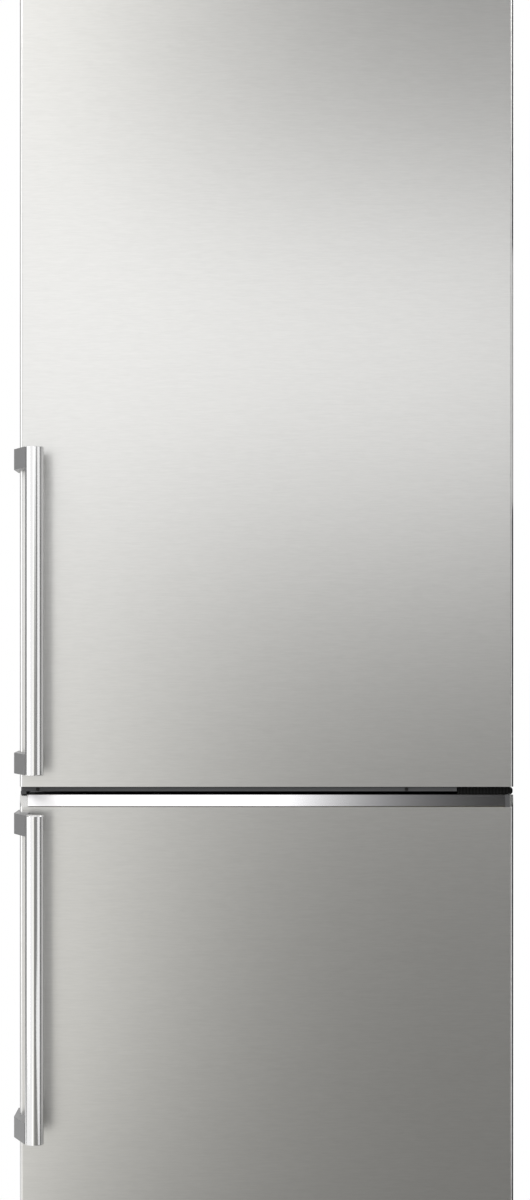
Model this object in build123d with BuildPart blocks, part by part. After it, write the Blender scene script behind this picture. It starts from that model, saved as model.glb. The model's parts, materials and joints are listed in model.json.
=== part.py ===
from build123d import *

import os

# Free-standing fridge freezer, fridge above and freezer drawers below, in millimetres.
# +Z is up, the doors face -Y and hinge on the +X side, and the origin lies on the floor.

# Overall sizes
width = 600
height = 1860
cabinet_depth = 555
door_thickness = 65
handle_reach = 60
condenser_depth = 18
base_height = 40

# Doors and the gaps around them: the door gap lies between the two steel skins
seal_gap = 12
door_floor_gap = 62
door_split = 750
door_gap = 10
door_head_gap = 3
door_edge_radius = 4

# Walls
sheet = 1.0
liner_wall = 2.0
cap_wall = 4.0
moulding = 3.0
top_panel_height = 15
freezer_wall = 62
fridge_back_wall = 55
freezer_back_wall = 65
liner_corner = 20

# Door seal
seal_width = 17
seal_side_inset = 21
seal_end_inset = 10
seal_margin = 3
seal_clearance = 0.3
seal_foot = 3
seal_head = 4
seal_neck_inset = 4
liner_lip = 4

# Hinges
hinge_inset = 20
hinge_setback = 22
pin_radius = 4
pin_length = 18
pin_clearance = 0.3
pin_boss_radius = 8
post_fit = 0.1
collar_radius = 7
hinge_plate = 3
hinge_leg_height = 26
hinge_nose = 12
hinge_span = 70
hinge_notch_width = 95
hinge_notch_depth = 90
hinge_foot_gap = 15
cover_play = 2
cover_corner = 8
cover_edge = 3
cover_clearance = 0.6
cover_thickness = 6
cover_end_gap = 0.5
cover_end_share = 0.4
cover_front_edge = 1.5
middle_cover_width = 67.5

# Handles
handle_length = 392
handle_radius = 11
handle_inset = 23
fridge_handle_rise = 17
freezer_handle_drop = 21
bracket_height = 25
bracket_plate = 5.5
bracket_side_run = 39
bracket_bend = 11
bracket_grip = 1
bracket_fit = 0.1
bar_chamfer = 0.8

# Freezer door head
trim_height = 14.5
trim_setback = 5
trim_thickness = 1.2
trim_end = 10
trim_groove = 1.0

# Fridge door foot: a moulded ledge below the steel skin, cut away round the hinge
ledge_drop = 5.5
ledge_inset = 1.5
ledge_sweep = 53

# Compressor space
compressor_space_height = 210
compressor_space_depth = 200
compressor_radius = 78
compressor_height = 150
compressor_x = 60
compressor_dome = 25
seam_rise = 82.5
seam_width = 5
base_reach_x = 80
base_reach_y = 42
base_margin = 15
base_sheet = 3
grommet_base = 9
grommet_radius = 13
grommet_hole = 7
grommet_lip = 4
relay_depth = 40
relay_half = 27
relay_edge = 4
relay_fit = 0.1
tray_height = 26
tray_half_x = 80
tray_half_y = 60
tray_corner = 12
plate_thickness = 3
plate_edge = 14
plate_gap = 2
step_wall = 48

# Dryer and pipes
dryer_radius = 9
dryer_length = 70
dryer_neck = 14
dryer_mouth = 3.5
dryer_rise = 60
dryer_setback = 65
pipe_bend = 9
pipe_drop = 20
discharge_drop = 12
suction_rise = 15
suction_offset = 25
suction_run = 20

# Mains inlet
inlet_width = 34
inlet_depth = 26
inlet_height = 30
inlet_wall = 4
inlet_rise = 70
prong_pitch = 7
prong_width = 2
prong_height = 4
prong_count = 3

# Condenser: tubes and their bends, which take a share of the distance between two runs
coil_tube_radius = 2.5
coil_standoff = 10.8
coil_pitch = 60
coil_rows = 20
coil_side_gap = 50
coil_foot_gap = 80
coil_return_run = 22
coil_entry_inset = 40
coil_entry_drop = 90
tube_sides = 8
tube_fit = 0.1
bend_share = 0.45
wire_size = 1.6
wire_count = 31
wire_overrun = 15
clip_width = 8
clip_half_height = 9

# Shelves and drawers
glass = 4
shelf_count = 4
top_shelf_room = 178
shelf_front_inset = 105
shelf_rib_width = 12
shelf_rib_height = 8
shelf_play = 1.5
trim_bar = 14
trim_lip = 4
trim_play = 2
trim_round = 3
crisper_height = 165
crisper_front_inset = 100
crisper_depth = 330
drawer_side_gap = 23
drawer_front_inset = 15
drawer_wall = 2.5
drawer_front = 6
drawer_depth = 400
drawer_headroom = 10
drawer_back_gap = 10
drawer_corner = 8
grip_width = 130
grip_height = 18
grip_drop = 22
guide_height = 20
guide_play = 1
slide_clearance = 0.3

# Freezer evaporator shelves
evaporator_count = 3
evaporator_tube_radius = 4
evaporator_rows = 6
evaporator_pitch = 70
evaporator_head = 14
evaporator_front_inset = 50
evaporator_rib_width = 12
evaporator_rib_height = 8
evaporator_side_gap = 16
evaporator_row_inset = 42
evaporator_wire = 2
evaporator_wire_count = 12
wire_rest = 0.05

# Fridge evaporator, a plate with a raised channel behind the fridge liner
plate_side_gap = 55
plate_margin = 20
channel_width = 8
channel_height = 3
channel_rows = 6

# Door fittings
dyke_width = 15
dyke_depth = 55
dyke_side_clearance = 15
dyke_end_clearance = 10
bin_depth = 97
bin_height = 85
bottle_bin_height = 115
bin_wall = 2.5
bin_corner = 18
bin_count = 3
top_bin_room = 174
cleat_width = 10
cleat_depth = 40
cleat_height = 6
field_height = 2
field_inset = 60

# Feet, rollers and plinth
foot_radius = 20
foot_pad = 12
stem_radius = 5
nut_wall = 7
nut_length = 16
nut_floor = 2
foot_inset = 50
roller_radius = 15
roller_width = 18
roller_chamfer = 1.5
axle_radius = 3
roller_inset = 60
fork_play = 1
fork_wall = 2.5
plinth_height = 46
plinth_floor_gap = 6
plinth_setback = 55
plinth_side_gap = 2
grille_slots = 24
grille_slot_width = 5

# Controls under the fridge ceiling
housing_half = 110
housing_depth = 200
housing_height = 34
housing_corner = 12
lens_half = 75
lens_depth = 90
lens_thickness = 6
lens_corner = 8
lens_play = 0.5
knob_x = -55
knob_radius = 14
knob_length = 12
knob_edge = 1.5
knob_grip_width = 6
knob_grip_inset = 2
shaft_radius = 3
shaft_length = 14
shaft_end_play = 1
button_x = 55
button_width = 24
button_height = 12
button_corner = 2.7
button_edge = 1
button_travel = 1.5
button_stand = 3
button_depth = 9
button_play = 0.3

# Planes of the part, front to back
overall_depth = handle_reach + door_thickness + seal_gap + cabinet_depth + condenser_depth
y_door = -overall_depth / 2 + handle_reach
y_rim = y_door + door_thickness
y_face = y_rim + seal_gap
y_back = y_face + cabinet_depth
y_coil = y_back + coil_standoff
y_tail = y_back + condenser_depth

# Levels of the part, floor to top
half_width = width / 2
shell_top = height - top_panel_height
door_top = shell_top - door_head_gap
fridge_door_bottom = door_split + door_gap / 2
freezer_door_top = door_split - door_gap / 2
freezer_skin_top = freezer_door_top - trim_height

# Hinge axis
hinge_x = half_width - hinge_inset
hinge_y = y_door + hinge_setback

# Cabinet face: the seal's tracks set the steel flange and the mouths of the two liners
seal_half = half_width - seal_side_inset
flange_half = seal_half - seal_width - seal_margin
flange_bottom = door_top - seal_end_inset - seal_width - seal_margin
rail_top = fridge_door_bottom + seal_end_inset + seal_width + seal_margin
rail_bottom = freezer_door_top - seal_end_inset - seal_width - seal_margin
sill_top = door_floor_gap + seal_end_inset + seal_width + seal_margin

fridge_half = flange_half - liner_lip
fridge_floor = rail_top + liner_lip
fridge_ceiling = flange_bottom - liner_lip
fridge_back = y_back - fridge_back_wall
freezer_half = half_width - freezer_wall
freezer_floor = sill_top + liner_lip
freezer_ceiling = rail_bottom - liner_lip
freezer_back = y_back - freezer_back_wall
drawer_half_width = freezer_half - drawer_side_gap

# Compressor space at the back of the base
space_front = y_back - compressor_space_depth
space_top = base_height + compressor_space_height
step_front = space_front - step_wall
step_floor = space_top + step_wall

os.makedirs("parts", exist_ok=True)


def upright(y):
    """Plane facing the doors at depth y: its first axis is +X, its second is +Z."""
    return Plane.XZ.offset(-y)


def block(x0, x1, y0, y1, z0, z1, mode=Mode.ADD):
    """Block between two opposite corners."""
    with Locations(((x0 + x1) / 2, (y0 + y1) / 2, (z0 + z1) / 2)):
        Box(x1 - x0, y1 - y0, z1 - z0, mode=mode)


def frame_rectangle(half_x, z0, z1, radius=0, mode=Mode.ADD):
    """Rectangle on an upright plane, centred on X and reaching from z0 to z1."""
    with Locations((0, (z0 + z1) / 2)):
        if radius > 0:
            RectangleRounded(2 * half_x, z1 - z0, radius, mode=mode)
        else:
            Rectangle(2 * half_x, z1 - z0, mode=mode)


# Cabinet shell: one folded sheet, left side, top and right side, with a flange round the mouth
with BuildPart() as cabinet_shell:
    with BuildSketch(upright(y_face)):
        frame_rectangle(half_width, base_height, shell_top)
        frame_rectangle(half_width - sheet, base_height, shell_top - sheet, mode=Mode.SUBTRACT)
    extrude(amount=-cabinet_depth)
    with BuildSketch(upright(y_face)):
        frame_rectangle(half_width, base_height, shell_top)
        frame_rectangle(flange_half, base_height, flange_bottom, mode=Mode.SUBTRACT)
    extrude(amount=-sheet)
cabinet_shell.part.label = "cabinet_shell"
export_step(cabinet_shell.part, "parts/cabinet_shell.step")

# Steel rails that close the cabinet face between and below the two mouths
with BuildPart() as front_rails:
    with BuildSketch(upright(y_face)):
        frame_rectangle(flange_half, rail_bottom, rail_top)
        frame_rectangle(flange_half, base_height, sill_top)
    extrude(amount=-sheet)
front_rails.part.label = "front_rails"
export_step(front_rails.part, "parts/front_rails.step")

# Base pan: floor of the cabinet, stepped up over the compressor, with the two foot nuts
foot_x = half_width - foot_inset
foot_y = y_face + foot_inset
with BuildPart() as base_pan:
    with BuildSketch(Plane.YZ):
        with BuildLine():
            Polyline(
                (y_face + sheet, base_height),
                (space_front, base_height),
                (space_front, space_top),
                (y_back - sheet, space_top),
                (y_back - sheet, space_top + sheet),
                (space_front - sheet, space_top + sheet),
                (space_front - sheet, base_height + sheet),
                (y_face + sheet, base_height + sheet),
                close=True,
            )
        make_face()
    extrude(amount=half_width - sheet, both=True)
    with BuildSketch(Plane.XY.offset(base_height - nut_length)):
        with Locations((-foot_x, foot_y), (foot_x, foot_y)):
            Circle(stem_radius + nut_wall)
    extrude(amount=nut_length)
    with BuildSketch(Plane.XY.offset(base_height - nut_length)):
        with Locations((-foot_x, foot_y), (foot_x, foot_y)):
            Circle(stem_radius + slide_clearance)
    extrude(amount=nut_length - nut_floor, mode=Mode.SUBTRACT)
base_pan.part.label = "base_pan"
export_step(base_pan.part, "parts/base_pan.step")


def coil_row(index):
    """Height of one straight run of the condenser tube."""
    return space_top + coil_foot_gap + index * coil_pitch


# Back panel with the clips that hold the condenser tube
coil_half_width = half_width - coil_side_gap
wire_pitch = 2 * (coil_half_width - coil_pitch / 2) / (wire_count + 1)
clip_x = (wire_count / 2 - 3) * wire_pitch
clip_rows = (1, coil_rows // 2, coil_rows - 2)
with BuildPart() as back_panel:
    with BuildSketch(upright(y_back - sheet)):
        frame_rectangle(half_width - sheet, space_top, shell_top - sheet)
    extrude(amount=-sheet)
    for row in clip_rows:
        for side in (-1, 1):
            with BuildSketch(Plane.YZ.offset(side * clip_x)):
                with Locations(((y_back + y_tail) / 2, coil_row(row))):
                    Rectangle(condenser_depth, 2 * clip_half_height)
                with Locations((y_coil, coil_row(row))):
                    Circle(coil_tube_radius + tube_fit, mode=Mode.SUBTRACT)
            extrude(amount=clip_width / 2, both=True)
back_panel.part.label = "back_panel"
export_step(back_panel.part, "parts/back_panel.step")

# Top panel: moulded worktop with a notch for the top hinge
with BuildPart() as top_panel:
    with BuildSketch(Plane.XY.offset(shell_top)):
        with Locations((0, (y_face + y_back) / 2)):
            Rectangle(width, cabinet_depth)
        with Locations((half_width - hinge_notch_width / 2, y_face + hinge_notch_depth / 2)):
            Rectangle(hinge_notch_width, hinge_notch_depth, mode=Mode.SUBTRACT)
    extrude(amount=top_panel_height)
    fillet(top_panel.faces().sort_by(Axis.Z)[-1].edges(), radius=top_panel_height / 4)
    with BuildSketch(Plane.XY.offset(shell_top)):
        with Locations((-hinge_notch_width / 2, (y_face + y_back) / 2)):
            Rectangle(
                width - hinge_notch_width - 2 * moulding,
                cabinet_depth - 2 * moulding,
            )
    extrude(amount=top_panel_height - moulding, mode=Mode.SUBTRACT)
top_panel.part.label = "top_panel"
export_step(top_panel.part, "parts/top_panel.step")

# Levels inside the two compartments
slide_floor = fridge_floor + slide_clearance
cover_level = slide_floor + crisper_height + 2 * shelf_rib_height
shelf_pitch = (fridge_ceiling - top_shelf_room - cover_level) / shelf_count
shelf_front = y_face + shelf_front_inset
shelf_back = fridge_back - liner_corner
rib_front = shelf_front + trim_bar
guide_half = drawer_half_width + guide_play


def shelf_level(index):
    """Underside of a glass shelf: index 0 is the crisper cover."""
    return cover_level + index * shelf_pitch


# Fridge liner: open box with rounded corners, shelf ribs on both sides and guides for the crisper
with BuildPart() as fridge_liner:
    with BuildSketch(upright(y_face)):
        frame_rectangle(flange_half, rail_top, flange_bottom)
        frame_rectangle(fridge_half, fridge_floor, fridge_ceiling, liner_corner, mode=Mode.SUBTRACT)
    extrude(amount=-sheet)
    with BuildSketch(upright(y_face)):
        frame_rectangle(
            fridge_half + liner_wall,
            fridge_floor - liner_wall,
            fridge_ceiling + liner_wall,
            liner_corner + liner_wall,
        )
        frame_rectangle(fridge_half, fridge_floor, fridge_ceiling, liner_corner, mode=Mode.SUBTRACT)
    extrude(amount=y_face - fridge_back)
    with BuildSketch(upright(fridge_back)):
        frame_rectangle(
            fridge_half + liner_wall,
            fridge_floor - liner_wall,
            fridge_ceiling + liner_wall,
            liner_corner + liner_wall,
        )
    extrude(amount=-liner_wall)
    for side in (-1, 1):
        for index in range(shelf_count + 1):
            rib_level = shelf_level(index) - shelf_rib_height / 2
            rib_x = side * (fridge_half - shelf_rib_width / 2)
            with Locations((rib_x, (rib_front + fridge_back) / 2, rib_level)):
                Box(shelf_rib_width, fridge_back - rib_front, shelf_rib_height)
    with BuildSketch(upright(rib_front)):
        frame_rectangle(fridge_half, fridge_floor, fridge_floor + guide_height)
        frame_rectangle(guide_half, fridge_floor, fridge_floor + guide_height, mode=Mode.SUBTRACT)
        frame_rectangle(fridge_half, fridge_floor, fridge_ceiling, liner_corner, mode=Mode.INTERSECT)
    extrude(amount=rib_front - fridge_back)
fridge_liner.part.label = "fridge_liner"
export_step(fridge_liner.part, "parts/fridge_liner.step")

# Freezer levels: the evaporator shelves rest on side ribs, and the drawers slide on the shelves
evaporator_room = freezer_ceiling - evaporator_head - step_floor - evaporator_rib_height
evaporator_step = evaporator_room / (evaporator_count - 1)
evaporator_front = y_face + evaporator_front_inset


def evaporator_level(index):
    """Underside of the tube of one evaporator shelf."""
    return step_floor + evaporator_rib_height + index * evaporator_step


with BuildPart() as freezer_space:
    with BuildSketch(Plane.YZ):
        with BuildLine():
            Polyline(
                (y_face, freezer_floor),
                (step_front, freezer_floor),
                (step_front, step_floor),
                (freezer_back, step_floor),
                (freezer_back, freezer_ceiling),
                (y_face, freezer_ceiling),
                close=True,
            )
        make_face()
    extrude(amount=freezer_half, both=True)

with BuildPart() as freezer_block:
    with BuildSketch(Plane.YZ):
        with BuildLine():
            Polyline(
                (y_face, freezer_floor - liner_wall),
                (step_front + liner_wall, freezer_floor - liner_wall),
                (step_front + liner_wall, step_floor - liner_wall),
                (freezer_back + liner_wall, step_floor - liner_wall),
                (freezer_back + liner_wall, freezer_ceiling + liner_wall),
                (y_face, freezer_ceiling + liner_wall),
                close=True,
            )
        make_face()
    extrude(amount=freezer_half + liner_wall, both=True)

# Freezer liner: open box stepped over the compressor, with ribs for the evaporator shelves
with BuildPart() as freezer_liner:
    add(freezer_block.part)
    with BuildSketch(upright(y_face)):
        frame_rectangle(flange_half, sill_top, rail_bottom)
    extrude(amount=-sheet)
    add(freezer_space.part, mode=Mode.SUBTRACT)
    for side in (-1, 1):
        for index in range(evaporator_count):
            rib_x = side * (freezer_half - evaporator_rib_width / 2)
            rib_z = evaporator_level(index) - evaporator_rib_height / 2
            with Locations((rib_x, (evaporator_front + freezer_back) / 2, rib_z)):
                Box(evaporator_rib_width, freezer_back - evaporator_front, evaporator_rib_height)
freezer_liner.part.label = "freezer_liner"
export_step(freezer_liner.part, "parts/freezer_liner.step")

# Fridge evaporator: a plate with a raised serpentine channel, foamed in behind the fridge liner
plate_half = fridge_half - plate_side_gap
plate_bottom = shelf_level(1)
plate_top = shelf_level(shelf_count)
plate_face = fridge_back + liner_wall
channel_pitch = (plate_top - plate_bottom) / channel_rows
channel_reach = plate_half - plate_margin
channel_points = []
for row in range(channel_rows):
    ends = (-channel_reach, channel_reach) if row % 2 == 0 else (channel_reach, -channel_reach)
    for x in ends:
        channel_points.append((x, plate_bottom + (row + 0.5) * channel_pitch))
with BuildPart() as fridge_evaporator:
    with BuildSketch(upright(plate_face)):
        frame_rectangle(plate_half, plate_bottom, plate_top)
    extrude(amount=-sheet)
    with BuildSketch(upright(plate_face + sheet)):
        with BuildLine():
            FilletPolyline(*channel_points, radius=bend_share * channel_pitch)
        trace(line_width=channel_width)
    extrude(amount=-channel_height)
fridge_evaporator.part.label = "fridge_evaporator"
export_step(fridge_evaporator.part, "parts/fridge_evaporator.step")

# Insulating foam of the cabinet: fills the space between shell and liners
with BuildPart() as cabinet_foam:
    with BuildSketch(Plane.YZ):
        with BuildLine():
            Polyline(
                (y_face + sheet, base_height + sheet),
                (space_front - sheet, base_height + sheet),
                (space_front - sheet, space_top + sheet),
                (y_back - sheet, space_top + sheet),
                (y_back - sheet, shell_top - sheet),
                (y_face + sheet, shell_top - sheet),
                close=True,
            )
        make_face()
    extrude(amount=half_width - sheet, both=True)
    with BuildSketch(upright(y_face)):
        frame_rectangle(
            fridge_half + liner_wall,
            fridge_floor - liner_wall,
            fridge_ceiling + liner_wall,
            liner_corner + liner_wall,
        )
    extrude(amount=y_face - fridge_back - liner_wall, mode=Mode.SUBTRACT)
    add(freezer_block.part, mode=Mode.SUBTRACT)
    with BuildSketch(upright(plate_face)):
        frame_rectangle(plate_half, plate_bottom, plate_top)
    extrude(amount=-sheet - channel_height, mode=Mode.SUBTRACT)
cabinet_foam.part.label = "cabinet_foam"
export_step(cabinet_foam.part, "parts/cabinet_foam.step")


def hinge_leaf(level):
    """Outline of a hinge plate, from the cabinet face out to its flat nose around the pin."""
    with BuildSketch(Plane.XY.offset(level)) as leaf:
        with BuildLine():
            Polyline(
                (half_width - hinge_span, y_face),
                (half_width - hinge_span, y_face - seal_gap),
                (hinge_x - hinge_nose, hinge_y - hinge_nose),
                (hinge_x + hinge_nose, hinge_y - hinge_nose),
                (hinge_x + hinge_nose, y_face),
                close=True,
            )
        make_face()
    return leaf.sketch


def pin(bottom, top, radius=pin_radius):
    """Round pin on the hinge axis between two levels."""
    with Locations((hinge_x, hinge_y, (bottom + top) / 2)):
        Cylinder(radius, top - bottom)


# Top hinge: plate screwed to the cabinet's top, with its pin pointing down into the door
hinge_foot = hinge_notch_depth - hinge_foot_gap
with BuildPart() as top_hinge:
    extrude(hinge_leaf(shell_top), amount=hinge_plate)
    foot_middle = half_width - hinge_span / 2 - (hinge_inset - hinge_nose) / 2
    foot_width = hinge_span - (hinge_inset - hinge_nose)
    with Locations((foot_middle, y_face + hinge_foot / 2, shell_top + hinge_plate / 2)):
        Box(foot_width, hinge_foot, hinge_plate)
    pin(door_top - pin_length, shell_top)
top_hinge.part.label = "top_hinge"
export_step(top_hinge.part, "parts/top_hinge.step")

# Cover over the top hinge, hollow from below
cover_width = hinge_notch_width - 2 * cover_play
cover_front = hinge_y - hinge_nose - moulding - cover_play
cover_back = y_face + hinge_notch_depth - cover_play
cover_x = half_width - hinge_notch_width / 2
with BuildPart() as top_hinge_cover:
    with BuildSketch(Plane.XY.offset(shell_top)):
        with Locations((cover_x, (cover_front + cover_back) / 2)):
            RectangleRounded(cover_width, cover_back - cover_front, cover_corner)
    extrude(amount=top_panel_height)
    fillet(top_hinge_cover.faces().sort_by(Axis.Z)[-1].edges(), radius=cover_edge)
    with BuildSketch(Plane.XY.offset(shell_top)):
        with Locations((cover_x, (cover_front + cover_back) / 2)):
            Rectangle(cover_width - 2 * moulding, cover_back - cover_front - 2 * moulding)
    extrude(amount=top_panel_height - moulding, mode=Mode.SUBTRACT)
top_hinge_cover.part.label = "top_hinge_cover"
export_step(top_hinge_cover.part, "parts/top_hinge_cover.step")


def hinge_leg(bottom, top):
    """Upright leg of a hinge, flat on the cabinet face."""
    block(half_width - hinge_span, hinge_x + hinge_nose, y_face - hinge_plate, y_face, bottom, top)


# Middle hinge: a leg on the middle rail and a plate between the doors, with a pin up and down
leaf_level = freezer_door_top + (door_gap - ledge_drop - hinge_plate) / 2
with BuildPart() as middle_hinge:
    extrude(hinge_leaf(leaf_level), amount=hinge_plate)
    hinge_leg(door_split - hinge_leg_height / 2, door_split + hinge_leg_height / 2)
    pin(freezer_door_top - pin_length, fridge_door_bottom + pin_length)
    pin(freezer_door_top + seal_clearance, fridge_door_bottom - seal_clearance, collar_radius)
middle_hinge.part.label = "middle_hinge"
export_step(middle_hinge.part, "parts/middle_hinge.step")

# Dark cover in front of the middle hinge, rounded at its outer end
middle_cover_height = door_gap - 2 * cover_clearance
middle_cover_back = hinge_y - hinge_nose
with BuildPart() as middle_hinge_cover:
    with BuildSketch(upright(middle_cover_back)):
        with Locations((half_width - cover_end_gap - middle_cover_width / 2, door_split)):
            Rectangle(middle_cover_width, middle_cover_height)
    extrude(amount=cover_thickness)
    outer_edges = middle_hinge_cover.faces().sort_by(Axis.X)[-1].edges().filter_by(Axis.Y)
    fillet(outer_edges, radius=cover_end_share * middle_cover_height)
    fillet(middle_hinge_cover.faces().sort_by(Axis.Y)[0].edges(), radius=cover_front_edge)
middle_hinge_cover.part.label = "middle_hinge_cover"
export_step(middle_hinge_cover.part, "parts/middle_hinge_cover.step")

# Bottom hinge: a leg on the sill and a plate under the freezer door, with its pin pointing up
sill_plate_top = door_floor_gap - door_head_gap
with BuildPart() as bottom_hinge:
    extrude(hinge_leaf(sill_plate_top - hinge_plate), amount=hinge_plate)
    hinge_leg(base_height, sill_plate_top)
    pin(sill_plate_top - hinge_plate, door_floor_gap + pin_length)
    pin(sill_plate_top, door_floor_gap - seal_clearance, collar_radius)
bottom_hinge.part.label = "bottom_hinge"
export_step(bottom_hinge.part, "parts/bottom_hinge.step")

# Plinth: moulded channel under the freezer door, with an air grille and two fixing tabs
plinth_top = plinth_floor_gap + plinth_height
plinth_front = y_door + plinth_setback
slot_pitch = (width - 2 * hinge_span) / grille_slots
with BuildPart() as plinth:
    with BuildSketch(Plane.YZ):
        with BuildLine():
            Polyline(
                (plinth_front, plinth_floor_gap),
                (plinth_front + moulding, plinth_floor_gap),
                (plinth_front + moulding, plinth_top - moulding),
                (y_face - hinge_plate, plinth_top - moulding),
                (y_face - hinge_plate, plinth_top),
                (plinth_front, plinth_top),
                close=True,
            )
        make_face()
    extrude(amount=half_width - plinth_side_gap, both=True)
    for side in (-1, 1):
        tab_x = side * (half_width - 2 * hinge_span)
        with Locations((tab_x, y_face - hinge_plate / 2, plinth_top - moulding / 2)):
            Box(hinge_span / 2, hinge_plate, moulding)
    with BuildSketch(upright(plinth_front)):
        with Locations((0, plinth_floor_gap + plinth_height / 2)):
            with GridLocations(slot_pitch, 1, grille_slots, 1):
                Rectangle(grille_slot_width, plinth_height / 2)
    extrude(amount=-moulding, mode=Mode.SUBTRACT)
plinth.part.label = "plinth"
export_step(plinth.part, "parts/plinth.step")

# Levelling feet: a pad and a screwed stem that turns in the base pan's nut
stem_top = base_height - nut_floor - slide_clearance
for side, place in ((-1, "left"), (1, "right")):
    with BuildPart() as front_foot:
        with BuildSketch(Plane.XY):
            with Locations((side * foot_x, foot_y)):
                RegularPolygon(foot_radius, 8)
        extrude(amount=foot_pad)
        chamfer(front_foot.faces().sort_by(Axis.Z)[-1].edges(), length=foot_pad / 4)
        with BuildSketch(Plane.XY.offset(foot_pad)):
            with Locations((side * foot_x, foot_y)):
                Circle(stem_radius)
        extrude(amount=stem_top - foot_pad)
    front_foot.part.label = f"front_foot_{place}"
    export_step(front_foot.part, f"parts/front_foot_{place}.step")

# Compressor plate: rear cross member with upturned edges and the forks that carry the rollers
roller_x = half_width - roller_inset
roller_y = y_back - roller_inset / 2
fork_gap = roller_width / 2 + fork_play
plate_front = space_front + plate_gap
plate_back = y_back - sheet
plate_level = base_height + plate_thickness
with BuildPart() as compressor_plate:
    with BuildSketch(Plane.YZ):
        with BuildLine():
            Polyline(
                (plate_front, base_height),
                (plate_back, base_height),
                (plate_back, plate_level + plate_edge),
                (plate_back - plate_thickness, plate_level + plate_edge),
                (plate_back - plate_thickness, plate_level),
                (plate_front + plate_thickness, plate_level),
                (plate_front + plate_thickness, plate_level + plate_edge),
                (plate_front, plate_level + plate_edge),
                close=True,
            )
        make_face()
    extrude(amount=half_width - sheet, both=True)
    for side in (-1, 1):
        for cheek in (-1, 1):
            with BuildSketch(Plane.YZ.offset(side * roller_x + cheek * (fork_gap + fork_wall / 2))):
                with Locations((roller_y, (roller_radius + base_height) / 2)):
                    Rectangle(roller_radius, base_height - roller_radius)
                with Locations((roller_y, roller_radius)):
                    Circle(roller_radius / 2)
            extrude(amount=fork_wall / 2, both=True)
        with BuildSketch(Plane.YZ.offset(side * roller_x)):
            with Locations((roller_y, roller_radius)):
                Circle(axle_radius)
        extrude(amount=fork_gap, both=True)
compressor_plate.part.label = "compressor_plate"
export_step(compressor_plate.part, "parts/compressor_plate.step")

# Rear rollers, turning on the axles of the forks
for side, place in ((-1, "left"), (1, "right")):
    with BuildPart() as rear_roller:
        with BuildSketch(Plane.YZ.offset(side * roller_x)):
            with Locations((roller_y, roller_radius)):
                Circle(roller_radius)
                Circle(axle_radius + slide_clearance, mode=Mode.SUBTRACT)
        extrude(amount=roller_width / 2, both=True)
        rims = rear_roller.edges().filter_by(GeomType.CIRCLE).group_by(SortBy.RADIUS)[-1]
        chamfer(rims, length=roller_chamfer)
    rear_roller.part.label = f"rear_roller_{place}"
    export_step(rear_roller.part, f"parts/rear_roller_{place}.step")

# Compressor: welded shell of two domes on a footed base
compressor_y = space_front + compressor_space_depth / 2
compressor_base = plate_level + grommet_base
shell_bottom = compressor_base + base_sheet
compressor_plane = Plane((compressor_x, compressor_y, shell_bottom), x_dir=(1, 0, 0), z_dir=(0, -1, 0))
with BuildPart() as compressor:
    with BuildSketch(compressor_plane):
        with BuildLine():
            Polyline((0, compressor_height), (0, 0), (compressor_radius - compressor_dome, 0))
            RadiusArc(
                (compressor_radius - compressor_dome, 0),
                (compressor_radius, compressor_dome),
                -compressor_dome,
            )
            Polyline(
                (compressor_radius, compressor_dome),
                (compressor_radius, seam_rise),
                (compressor_radius + seam_width, seam_rise),
                (compressor_radius + seam_width, seam_rise + seam_width),
                (compressor_radius, seam_rise + seam_width),
                (compressor_radius, compressor_height - compressor_dome),
            )
            RadiusArc(
                (compressor_radius, compressor_height - compressor_dome),
                (compressor_radius - compressor_dome, compressor_height),
                -compressor_dome,
            )
            Line((compressor_radius - compressor_dome, compressor_height), (0, compressor_height))
        make_face()
    revolve(axis=Axis((compressor_x, compressor_y, 0), (0, 0, 1)))
    with BuildSketch(Plane.XY.offset(compressor_base)):
        with Locations((compressor_x, compressor_y)):
            Rectangle(2 * (base_reach_x + base_margin), 2 * (base_reach_y + base_margin))
            with GridLocations(2 * base_reach_x, 2 * base_reach_y, 2, 2):
                Circle(grommet_hole + slide_clearance, mode=Mode.SUBTRACT)
    extrude(amount=base_sheet)
compressor.part.label = "compressor"
export_step(compressor.part, "parts/compressor.step")

# Rubber grommets under the compressor's base, each with a neck through its hole
grommet_neck = base_sheet + grommet_lip
with BuildPart() as compressor_grommets:
    with BuildSketch(Plane.XY.offset(plate_level)):
        with Locations((compressor_x, compressor_y)):
            with GridLocations(2 * base_reach_x, 2 * base_reach_y, 2, 2):
                Circle(grommet_radius)
    extrude(amount=grommet_base)
    with BuildSketch(Plane.XY.offset(compressor_base)):
        with Locations((compressor_x, compressor_y)):
            with GridLocations(2 * base_reach_x, 2 * base_reach_y, 2, 2):
                Circle(grommet_hole)
    extrude(amount=grommet_neck)
compressor_grommets.part.label = "compressor_grommets"
export_step(compressor_grommets.part, "parts/compressor_grommets.step")

# Relay box clipped to the compressor's side, hollowed to the shell's curve
relay_bottom = shell_bottom + compressor_dome
relay_top = shell_bottom + seam_rise
with BuildPart() as relay_box:
    with Locations((compressor_x - compressor_radius, compressor_y, (relay_bottom + relay_top) / 2)):
        Box(relay_depth, 2 * relay_half, relay_top - relay_bottom)
    fillet(relay_box.faces().sort_by(Axis.X)[0].edges(), radius=relay_edge)
    with Locations((compressor_x, compressor_y, (relay_bottom + relay_top) / 2)):
        Cylinder(compressor_radius + relay_fit, compressor_height, mode=Mode.SUBTRACT)
relay_box.part.label = "relay_box"
export_step(relay_box.part, "parts/relay_box.step")

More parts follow.
